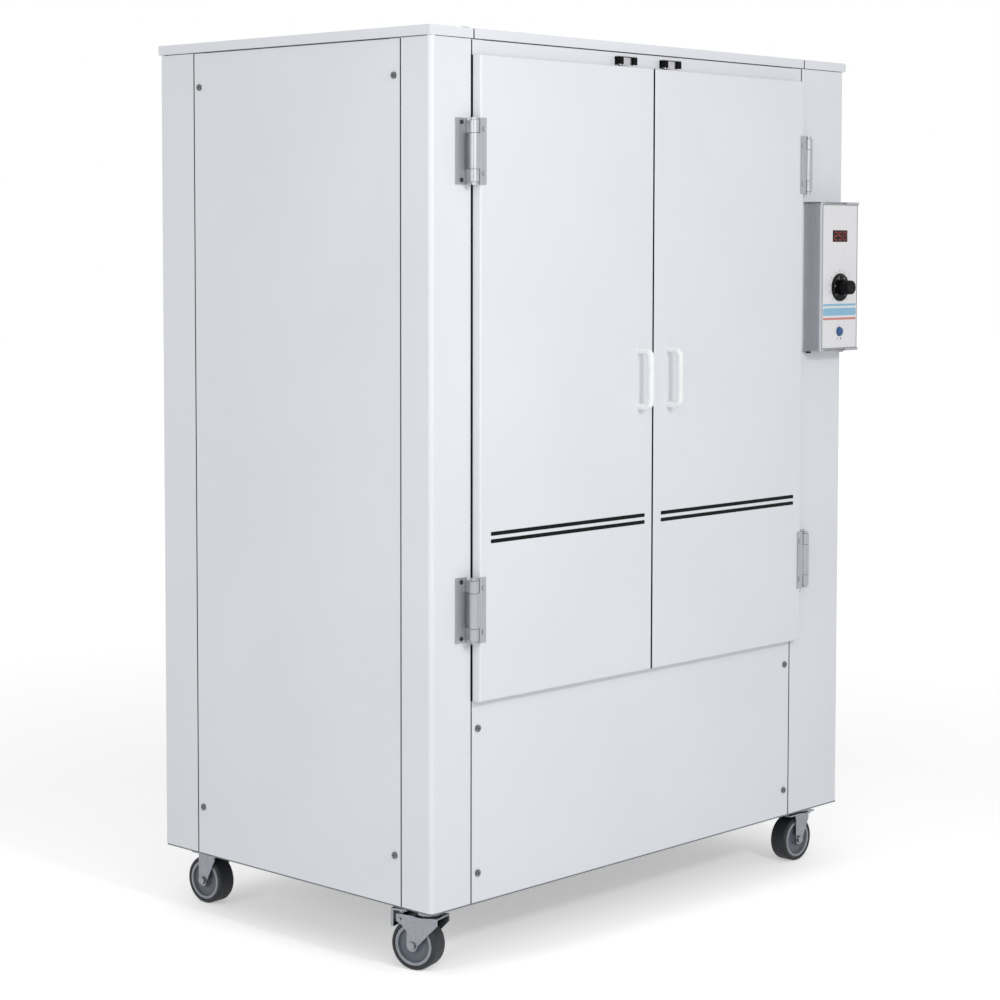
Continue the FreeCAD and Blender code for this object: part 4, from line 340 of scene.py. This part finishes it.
def facing_front(x, y, z):
    """Places on a plane that faces -Y, counted from a point on it."""
    return lambda across, up, out: Vector((x + across, y - out, z + up))


def facing_side(x, y, z, sign):
    """Places on a plane that faces +X or -X, as the sign tells, counted from a point on it."""
    return lambda along, up, out: Vector((x + sign * out, y + along, z + up))


def rounded_bar(left, right, low, high, radius, steps=5):
    """Outline of a bar with rounded corners."""
    corners = ((right - radius, low + radius, -90), (right - radius, high - radius, 0),
               (left + radius, high - radius, 90), (left + radius, low + radius, 180))
    points = []
    for x, z, start in corners:
        for n in range(steps + 1):
            angle = math.radians(start + 90 * n / steps)
            points.append((x + radius * math.cos(angle), z + radius * math.sin(angle)))
    return points


def turned_bar(angle, near, far, width):
    """Outline of a short bar that points away from a middle, clockwise from straight up."""
    along = Vector((math.sin(angle), math.cos(angle)))
    aside = Vector((math.cos(angle), -math.sin(angle))) * width / 2
    return [tuple(along * near - aside), tuple(along * near + aside), tuple(along * far + aside),
            tuple(along * far - aside)]


def disc(x, z, radius, count=20):
    """Outline of a dot."""
    angles = [math.tau * n / count for n in range(count)]
    return [(x + radius * math.cos(angle), z + radius * math.sin(angle)) for angle in angles]


# Stripes across the doors
FILM = 0.25 * MM
STRIPE_HEIGHT = 6.4 * MM
STRIPE_LIFT = (259.5 * MM, 271.5 * MM)
STRIPE_OUTER = 24 * MM
STRIPE_INNER = 20 * MM
STRIPE_ROUND = 1.2 * MM


def door_stripes(side):
    """Two narrow black stripes in the lower part of a door."""
    low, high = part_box(f"{side}_door_skin")
    width = high.x - low.x
    half = STRIPE_HEIGHT / 2
    outer, inner = (STRIPE_OUTER, STRIPE_INNER) if side == "left" else (STRIPE_INNER, STRIPE_OUTER)
    bars = [rounded_bar(outer, width - inner, lift - half, lift + half, STRIPE_ROUND)
            for lift in STRIPE_LIFT]
    flat_piece(f"{side}_door_stripes", bars, facing_front(low.x, low.y, low.z), FILM, f"{side}_door", STRIPE_AND_SHADE_FILM)


for side in SIDES:
    door_stripes(side)


# Dark strips in the gaps beside the doors, which deepen the gaps' shadows
GAP_SHADE_THICK = 0.3 * MM
GAP_SHADE_START = 0.8 * MM
GAP_SHADE_ROUND = 0.5 * MM
HINGE_SHADE_THICK = 1.2 * MM
HINGE_SHADE_OUT = 2 * MM
HINGE_SHADE_IN = 12 * MM
POST_LOW, POST_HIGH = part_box("corner_posts")


def meeting_gap_shade(side):
    """A dark strip along a door's free edge: painted shade that darkens the gap between the doors."""
    low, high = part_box(f"{side}_door_skin")
    edge, sign = (high.x, 1) if side == "left" else (low.x, -1)
    strip = rounded_bar(GAP_SHADE_START, high.y - low.y, 0, high.z - low.z, GAP_SHADE_ROUND)
    flat_piece(f"{side}_door_meeting_trim", [strip], facing_side(edge, low.y, low.z, sign), GAP_SHADE_THICK,
               f"{side}_door", STRIPE_AND_SHADE_FILM)


def hinge_gap_shade(side):
    """A dark strip on the post behind a door's hinge edge: painted shade in the gap between the post and the
    door.
    """
    low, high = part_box(f"{side}_door_skin")
    if side == "left":
        edge, near, far = low.x, -HINGE_SHADE_OUT, HINGE_SHADE_IN
    else:
        edge, near, far = high.x, -HINGE_SHADE_IN, HINGE_SHADE_OUT
    strip = rounded_bar(near, far, 0, high.z - low.z, GAP_SHADE_ROUND)
    flat_piece(f"{side}_hinge_gap_shade", [strip], facing_front(edge, POST_LOW.y, low.z), HINGE_SHADE_THICK,
               "cabinet", STRIPE_AND_SHADE_FILM)


for side in SIDES:
    meeting_gap_shade(side)
for side in SIDES:
    hinge_gap_shade(side)

# Painted shadow line between the cabinet and the top covers
CAP_LOW, CAP_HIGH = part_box("top_covers")
CAP_SHADOW_HEIGHT = 1.2 * MM
CAP_SHADOW_INSET = 9 * MM
LINE_ROUND = 0.2 * MM


def cap_shadow_strip():
    """A thin strip of painted shadow under the top covers, along the front and both sides."""
    wide = POST_HIGH.x - POST_LOW.x
    deep = POST_HIGH.y - POST_LOW.y
    start = CAP_LOW.z - CAP_SHADOW_HEIGHT
    across = [rounded_bar(CAP_SHADOW_INSET, wide - CAP_SHADOW_INSET, 0, CAP_SHADOW_HEIGHT, LINE_ROUND)]
    flat_piece("front_cap_shadow_strip", across, facing_front(POST_LOW.x, POST_LOW.y, start), FILM, "cabinet",
               SILICONE_AND_SHADE)
    along = [rounded_bar(CAP_SHADOW_INSET, deep - CAP_SHADOW_INSET, 0, CAP_SHADOW_HEIGHT, LINE_ROUND)]
    for side, x, sign in (("left", POST_LOW.x, -1), ("right", POST_HIGH.x, 1)):
        flat_piece(f"{side}_cap_shadow_strip", along, facing_side(x, POST_LOW.y, start, sign), FILM, "cabinet",
                   SILICONE_AND_SHADE)


cap_shadow_strip()

# Dark films over the seams between the panels, the posts and the top covers, for their shadow lines
SEAM = 1.6 * MM
SEAM_LAP = 0.5 * MM
SHADE_FILM = 0.06 * MM
CAP_LEFT = 93 * MM
CAP_RIGHT = 125 * MM
LOWER_LOW, LOWER_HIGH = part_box("lower_front_panel")
SIDE_LOW, SIDE_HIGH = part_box("side_panels")
HEADER_LOW, HEADER_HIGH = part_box("door_header")


def seam_shadow_film(name, place, length):
    """A dark strip of painted shadow over a seam, lapping a little onto both sides."""
    strip = [(-SEAM_LAP, 0), (SEAM + SEAM_LAP, 0), (SEAM + SEAM_LAP, length), (-SEAM_LAP, length)]
    flat_piece(name, [strip], place, SHADE_FILM, "cabinet", STRIPE_AND_SHADE_FILM)


def front_seams():
    """Beside the lower front panel and beside the rail above the doors."""
    for part, low, high in (("lower", LOWER_LOW, LOWER_HIGH), ("header", HEADER_LOW, HEADER_HIGH)):
        for side, x in (("left", low.x - SEAM), ("right", high.x)):
            seam_shadow_film(f"{part}_{side}_seam", facing_front(x, low.y, low.z), high.z - low.z)


def side_seams():
    """Before and behind each side panel."""
    for side, x, sign in (("left", SIDE_LOW.x, -1), ("right", SIDE_HIGH.x, 1)):
        for end, y in (("front", SIDE_LOW.y - SEAM), ("rear", SIDE_HIGH.y)):
            seam_shadow_film(f"{side}_{end}_seam", facing_side(x, y, SIDE_LOW.z, sign), SIDE_HIGH.z - SIDE_LOW.z)


def cap_seams():
    """Between the top covers, on their front edge."""
    for side, x in (("left", POST_LOW.x + CAP_LEFT), ("right", POST_HIGH.x - CAP_RIGHT - SEAM)):
        seam_shadow_film(f"{side}_cap_seam", facing_front(x, CAP_LOW.y, CAP_LOW.z), CAP_HIGH.z - CAP_LOW.z - SEAM)


front_seams()
side_seams()
cap_seams()

# Painted shadow line under the control box's upper cap
HOUSING_LOW, HOUSING_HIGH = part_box("control_housing")
CAP_SHADOW_LINE_HEIGHT = 1.4 * MM
CAP_SHADOW_LINE_INSET = 1 * MM


def control_cap_shadow_line():
    """A strip of painted shadow on the control box's left side, a little below its top."""
    start = HOUSING_HIGH.z - 2 * CAP_SHADOW_LINE_HEIGHT
    deep = HOUSING_HIGH.y - HOUSING_LOW.y
    strip = rounded_bar(CAP_SHADOW_LINE_INSET, deep - CAP_SHADOW_LINE_INSET, 0, CAP_SHADOW_LINE_HEIGHT, LINE_ROUND)
    flat_piece("control_cap_shadow_line", [strip], facing_side(HOUSING_LOW.x, HOUSING_LOW.y, start, -1), SHADE_FILM,
               "cabinet", STRIPE_AND_SHADE_FILM)


control_cap_shadow_line()

# Control panel prints
PANEL_LOW, PANEL_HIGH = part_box("control_panel")
PANEL_WIDTH = PANEL_HIGH.x - PANEL_LOW.x
PANEL_TALL = PANEL_HIGH.z - PANEL_LOW.z
ON_PANEL = facing_front(PANEL_LOW.x, PANEL_LOW.y, PANEL_LOW.z)
PRINT = 0.12 * MM
KNOB = Vector(JOINTS["temperature_knob_turn"]["pos_m"])
SWITCH = Vector(JOINTS["power_switch_rock"]["pos_m"])
BAND_EDGE = 3 * MM
BAND_ROUND = 1.5 * MM
BLUE_BANDS = ((61.5 * MM, 75.5 * MM), (79.5 * MM, 83.5 * MM))
CORAL_BANDS = ((53.5 * MM, 57.5 * MM),)
BORDER = 0.8 * MM
BORDER_ROUND = 0.1 * MM
SCALE_START = -135
SCALE_SWEEP = 270
MARK_LEFT, MARK_RIGHT = -6.4 * MM, -5.2 * MM
MARK_LOW, MARK_HIGH = -15 * MM, -11.5 * MM
DOT_ACROSS, DOT_UP, DOT_RADIUS = 5 * MM, -13.2 * MM, 1.7 * MM


def panel_bands(name, bands, material):
    """Plain level bands of colour across the lower half of the panel."""
    bars = [rounded_bar(BAND_EDGE, PANEL_WIDTH - BAND_EDGE, low, high, BAND_ROUND) for low, high in bands]
    flat_piece(name, bars, ON_PANEL, PRINT, "cabinet", material)


def panel_border():
    """A thin dark line round the panel's face."""
    bars = [rounded_bar(0, PANEL_WIDTH, low, low + BORDER, BORDER_ROUND, steps=2)
            for low in (0, PANEL_TALL - BORDER)]
    bars += [rounded_bar(left, left + BORDER, BORDER, PANEL_TALL - BORDER, BORDER_ROUND, steps=2)
             for left in (0, PANEL_WIDTH - BORDER)]
    flat_piece("panel_border", bars, ON_PANEL, PRINT, "cabinet", DARK_PRINT_AND_SLOT_SHADE)


def scale_angles(count):
    """Angles of evenly spaced marks over the knob's turn, clockwise from straight up."""
    step = SCALE_SWEEP / (count - 1)
    return [math.radians(SCALE_START + step * n) for n in range(count)]


def scale_marks(count, near, far, width):
    """Outlines of the marks of a round scale."""
    return [turned_bar(angle, near, far, width) for angle in scale_angles(count)]


def panel_marks():
    """Scale marks round the knob and two marks under the switch."""
    ticks = scale_marks(11, near=29.5 * MM, far=33 * MM, width=0.9 * MM)
    round_knob = facing_front(KNOB.x, PANEL_LOW.y, KNOB.z)
    flat_piece("knob_scale_marks", ticks, round_knob, PRINT, "cabinet", DARK_PRINT_AND_SLOT_SHADE)
    bar = [(MARK_LEFT, MARK_LOW), (MARK_RIGHT, MARK_LOW), (MARK_RIGHT, MARK_HIGH), (MARK_LEFT, MARK_HIGH)]
    dot = disc(DOT_ACROSS, DOT_UP, DOT_RADIUS)
    by_switch = facing_front(SWITCH.x, PANEL_LOW.y, SWITCH.z)
    flat_piece("switch_marks", [bar, dot], by_switch, PRINT, "cabinet", DARK_PRINT_AND_SLOT_SHADE)


panel_bands("panel_blue_bands", BLUE_BANDS, PRINT_BLUE)
panel_bands("panel_coral_band", CORAL_BANDS, PRINT_RED)
panel_border()
panel_marks()

# Knob prints
KNOB_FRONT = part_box("temperature_knob")[0].y
KNOB_GAP = 0.6 * MM
SKIRT_THICK = 3 * MM
SKIRT_FACE = PANEL_LOW.y - (KNOB_GAP + SKIRT_THICK)
NUMBERS = 6
NUMBER_STEP = 50
NUMBER_HEIGHT = 5 * MM
NUMBER_RADIUS = 18.6 * MM


def lettering(name, words, height, turn, place, body, material):
    """A short printed number, turned clockwise about its place's middle, as a thin plate."""
    curve = bpy.data.curves.new(name, "FONT")
    curve.body = words
    curve.size = height
    curve.align_x = "CENTER"
    curve.align_y = "CENTER"
    curve.extrude = PRINT / 2
    temporary = bpy.data.objects.new(name, curve)
    bpy.context.scene.collection.objects.link(temporary)
    bpy.context.view_layer.update()
    mesh = bpy.data.meshes.new_from_object(temporary)
    bpy.data.objects.remove(temporary)
    upright = Matrix.Rotation(math.pi / 2, 4, "X")
    mesh.transform(Matrix.Translation(place) @ Matrix.Rotation(turn, 4, "Y") @ upright)
    mesh.materials.clear()
    keep(name, mesh, body, material)


def knob_prints():
    """White marks and numbers on the knob's skirt, and a line on its grip."""
    on_skirt = facing_front(KNOB.x, SKIRT_FACE, KNOB.z)
    ticks = scale_marks(21, near=22 * MM, far=23.8 * MM, width=0.5 * MM)
    flat_piece("knob_skirt_marks", ticks, on_skirt, PRINT, "temperature_knob", PRINT_WHITE)
    for n, turn in enumerate(scale_angles(NUMBERS)):
        place = on_skirt(NUMBER_RADIUS * math.sin(turn), NUMBER_RADIUS * math.cos(turn), PRINT / 2)
        lettering(f"knob_number_{n}", str(NUMBER_STEP * n), NUMBER_HEIGHT, turn, place, "temperature_knob",
                  PRINT_WHITE)
    line = [turned_bar(0.0, near=3 * MM, far=11 * MM, width=1.2 * MM)]
    on_grip = facing_front(KNOB.x, KNOB_FRONT + PRINT, KNOB.z)
    flat_piece("knob_pointer", line, on_grip, PRINT, "temperature_knob", PRINT_WHITE)


knob_prints()

# Display digits
SEGMENTS = {"2": "ABGED", "5": "AFGCD", "0": "ABCDEF"}
SEGMENT_GAP = 0.18
DIGIT_LEAN = 0.09


def segment(kind, width, height, bar):
    """Outline of one of a digit's seven bars."""
    half = height / 2
    gap = bar * SEGMENT_GAP
    level = {"A": height, "G": half, "D": 0.0}
    if kind in level:
        z = min(max(level[kind], bar / 2), height - bar / 2)
        return [(gap, z), (bar / 2, z - bar / 2), (width - bar / 2, z - bar / 2), (width - gap, z),
                (width - bar / 2, z + bar / 2), (bar / 2, z + bar / 2)]
    x = bar / 2 if kind in "FE" else width - bar / 2
    low = half if kind in "FB" else 0.0
    high = low + half
    return [(x, low + gap), (x + bar / 2, low + bar / 2), (x + bar / 2, high - bar / 2), (x, high - gap),
            (x - bar / 2, high - bar / 2), (x - bar / 2, low + bar / 2)]


def display_digits(number, width, height, bar, pitch):
    """Red seven-bar digits on the display window."""
    low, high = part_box("display_window")
    start = (high.x - low.x - pitch * (len(number) - 1) - width) / 2
    lift = (high.z - low.z - height) / 2
    outlines = []
    for n, digit in enumerate(number):
        for kind in SEGMENTS[digit]:
            outlines.append([(start + n * pitch + x + DIGIT_LEAN * z, lift + z)
                             for x, z in segment(kind, width, height, bar)])
    on_window = facing_front(low.x, low.y, low.z)
    flat_piece("display_digits", outlines, on_window, PRINT, "cabinet", RED_GLOW)


display_digits("250", width=10.5 * MM, height=16.5 * MM, bar=2.2 * MM, pitch=14 * MM)

# Cross slots in the screw heads, drawn as flat dark crosses of painted shade
HEAD = 2.4 * MM
SLOT_REACH = 3 * MM
SLOT_HALF = 0.6 * MM
SLOT_ROUND = 0.3 * MM
SLOT_FILM = 0.08 * MM
SLOT_ARMS = (rounded_bar(-SLOT_REACH, SLOT_REACH, -SLOT_HALF, SLOT_HALF, SLOT_ROUND, steps=3),
             rounded_bar(-SLOT_HALF, SLOT_HALF, -SLOT_REACH, SLOT_REACH, SLOT_ROUND, steps=3))
SCREW_INSET = 14 * MM
FRONT_SCREW_LOW = 48 * MM
FRONT_SCREW_HIGH = 47 * MM
SIDE_SCREW_LOW = 82 * MM
SIDE_SCREW_HIGH = 60 * MM


def slot_shade_crosses(name, places):
    """A dark cross of painted shade on each screw head, for its slot; each place is a plane on a head's
    face.
    """
    for n, place in enumerate(places):
        flat_piece(f"{name}_{n}", SLOT_ARMS, place, SLOT_FILM, "cabinet", DARK_PRINT_AND_SLOT_SHADE)


def panel_screw_slots():
    """Painted slot shade for the lower front panel's and the side panels' screws."""
    door_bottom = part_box("left_door_skin")[0].z
    front = [facing_front(x, POST_LOW.y - HEAD, z)
             for x in (LOWER_LOW.x + SCREW_INSET, LOWER_HIGH.x - SCREW_INSET)
             for z in (LOWER_LOW.z + FRONT_SCREW_LOW, door_bottom - FRONT_SCREW_HIGH)]
    slot_shade_crosses("front_screw_slot", front)
    spots = [(y, z) for y in (SIDE_LOW.y + SCREW_INSET, SIDE_HIGH.y - SCREW_INSET)
             for z in (POST_LOW.z + SIDE_SCREW_LOW, POST_HIGH.z - SIDE_SCREW_HIGH)]
    for side, x, sign in (("left", POST_LOW.x - HEAD, -1), ("right", POST_HIGH.x + HEAD, 1)):
        slot_shade_crosses(f"{side}_screw_slot", [facing_side(x, y, z, sign) for y, z in spots])


panel_screw_slots()

# Pale rings on the wheels' hubs
RING_NEAR = 15.6 * MM
RING_FAR = 16.9 * MM
RING_INNER = 29.3 * MM
RING_OUTER = 34.5 * MM
RING_BEVEL = 0.5 * MM
RING_STEPS = 64
RING_PROFILE = ((RING_NEAR, RING_INNER), (RING_FAR - RING_BEVEL, RING_INNER),
                (RING_FAR, RING_INNER + RING_BEVEL), (RING_FAR, RING_OUTER - RING_BEVEL),
                (RING_FAR - RING_BEVEL, RING_OUTER), (RING_NEAR, RING_OUTER))


def hub_ring(name, middle, axle, body):
    """A flat ring round an axle, with bevelled rims on its outer face."""
    along = Vector(axle).normalized()
    aside = UP.cross(along).normalized()
    work = bmesh.new()
    rings = []
    for n in range(RING_STEPS):
        angle = math.tau * n / RING_STEPS
        ray = UP * math.cos(angle) + aside * math.sin(angle)
        points = [middle + along * depth + ray * radius for depth, radius in RING_PROFILE]
        rings.append([work.verts.new(point) for point in points])
    count = len(RING_PROFILE)
    for n in range(RING_STEPS):
        first, second = rings[n], rings[(n + 1) % RING_STEPS]
        for k in range(count):
            follow = (k + 1) % count
            work.faces.new((first[k], first[follow], second[follow], second[k]))
    mesh = closed_mesh(name, work)
    for polygon in mesh.polygons:
        polygon.use_smooth = True
    keep(name, mesh, body, HUB_RING)


def wheel_rings(corner):
    """The pale ring on each face of a wheel's hub."""
    joint = JOINTS[f"{corner}_wheel_spin"]
    middle = Vector(joint["pos_m"])
    axle = Vector(joint["axis"])
    for face, sign in (("near", -1), ("far", 1)):
        hub_ring(f"{corner}_hub_ring_{face}", middle, axle * sign, f"wheel_{corner}")


for corner in CORNERS:
    wheel_rings(corner)

# Floor, light and camera; lifts and the sky are strengths, distances are in metres
FLOOR_SIZE = 40.0
FLOOR_COLOUR = (0.95, 0.95, 0.95)
FLOOR_ROUGHNESS = 0.9
FLOOR_LIFT = 0.405
FAR_LIFT = 0.56
FADE_START, FADE_END = 1.3, 3.5
SKY = 0.50
FOCAL = 2.4082
SENSOR = 36.0
VIEW_END = 100.0
AIM = (math.radians(47.756), math.radians(-3.542), math.radians(0.210))
MIDDLE = (0.5840, 0.3904)
EYE = Vector((-3.1935, -3.0475, 1.1894))


def seen_directly(material_or_world):
    """1 for what the camera sees straight, in a mirror or through glass, and 0 for light on the object."""
    path = add_node(material_or_world, "ShaderNodeLightPath")
    total = path.outputs["Is Camera Ray"]
    for name in ("Is Glossy Ray", "Is Transmission Ray"):
        both = add_node(material_or_world, "ShaderNodeMath")
        both.operation = "MAXIMUM"
        material_or_world.node_tree.links.new(total, both.inputs[0])
        material_or_world.node_tree.links.new(path.outputs[name], both.inputs[1])
        total = both.outputs["Value"]
    return total


def make_floor():
    """A pale floor that keeps the object's shadow."""
    half = FLOOR_SIZE / 2
    mesh = bpy.data.meshes.new("floor")
    corners = [(-half, -half, 0), (half, -half, 0), (half, half, 0), (-half, half, 0)]
    mesh.from_pydata(corners, [], [(0, 1, 2, 3)])
    floor = bpy.data.objects.new("floor", mesh)
    bpy.context.scene.collection.objects.link(floor)
    pale = surface("pale floor", FLOOR_COLOUR, FLOOR_ROUGHNESS)
    shader_of(pale).inputs["Specular IOR Level"].default_value = 0.0
    place = add_node(pale, "ShaderNodeTexCoord").outputs["Object"]
    away = add_node(pale, "ShaderNodeVectorMath")
    away.operation = "LENGTH"
    pale.node_tree.links.new(place, away.inputs[0])
    full = remap(pale, away.outputs["Value"], FLOOR_LIFT, FAR_LIFT, FADE_START, FADE_END)
    lift = remap(pale, seen_directly(pale), 0.0, full, start=0.0, end=1.0)
    shader_of(pale).inputs["Emission Color"].default_value = (1, 1, 1, 1)
    pale.node_tree.links.new(lift, shader_of(pale).inputs["Emission Strength"])
    mesh.materials.append(pale)


def make_world():
    """White where it is seen, and an even soft light on the object."""
    world = bpy.data.worlds.new("studio")
    bpy.context.scene.world = world
    world.use_nodes = True
    strength = remap(world, seen_directly(world), SKY, 1.0, start=0.0, end=1.0)
    backdrop = world.node_tree.nodes["Background"]
    backdrop.inputs["Color"].default_value = (1, 1, 1, 1)
    world.node_tree.links.new(strength, backdrop.inputs["Strength"])


def lamp(name, place, aim, size, watts):
    """A soft square lamp aimed at a point."""
    data = bpy.data.lights.new(name, "AREA")
    data.size = size
    data.energy = watts
    made = bpy.data.objects.new(name, data)
    bpy.context.scene.collection.objects.link(made)
    made.location = place
    made.rotation_mode = "QUATERNION"
    made.rotation_quaternion = (Vector(aim) - Vector(place)).to_track_quat("-Z", "Y")


def make_camera():
    """The photograph's view: focal length and image middle are shares of the picture's width."""
    yaw, pitch, roll = AIM
    ahead = Vector((math.sin(yaw) * math.cos(pitch), math.cos(yaw) * math.cos(pitch), math.sin(pitch)))
    level = Vector((math.cos(yaw), -math.sin(yaw), 0))
    above = level.cross(ahead)
    right = level * math.cos(roll) + above * math.sin(roll)
    up = above * math.cos(roll) - level * math.sin(roll)
    data = bpy.data.cameras.new("camera")
    data.sensor_width = SENSOR
    data.lens = FOCAL * SENSOR
    data.shift_x = 0.5 - MIDDLE[0]
    data.shift_y = MIDDLE[1] - 0.5
    data.clip_end = VIEW_END
    camera = bpy.data.objects.new("camera", data)
    bpy.context.scene.collection.objects.link(camera)
    axes = Matrix((right, up, -ahead)).transposed()
    camera.matrix_world = Matrix.Translation(EYE) @ axes.to_4x4()
    bpy.context.scene.camera = camera


make_floor()
make_world()
lamp("corner lamp", place=(-1.25, -1.55, 1.45), aim=(-0.3, -0.3, 1.05), size=1.0, watts=6.5)
lamp("front lamp", place=(-0.8, -3.3, 2.2), aim=(-0.05, -0.35, 1.0), size=0.4, watts=29.0)
lamp("left lamp", place=(-3.6, 0.1, 1.7), aim=(-0.5, 0.0, 1.1), size=1.0, watts=18.0)
make_camera()
bpy.context.scene.view_settings.view_transform = "Standard"
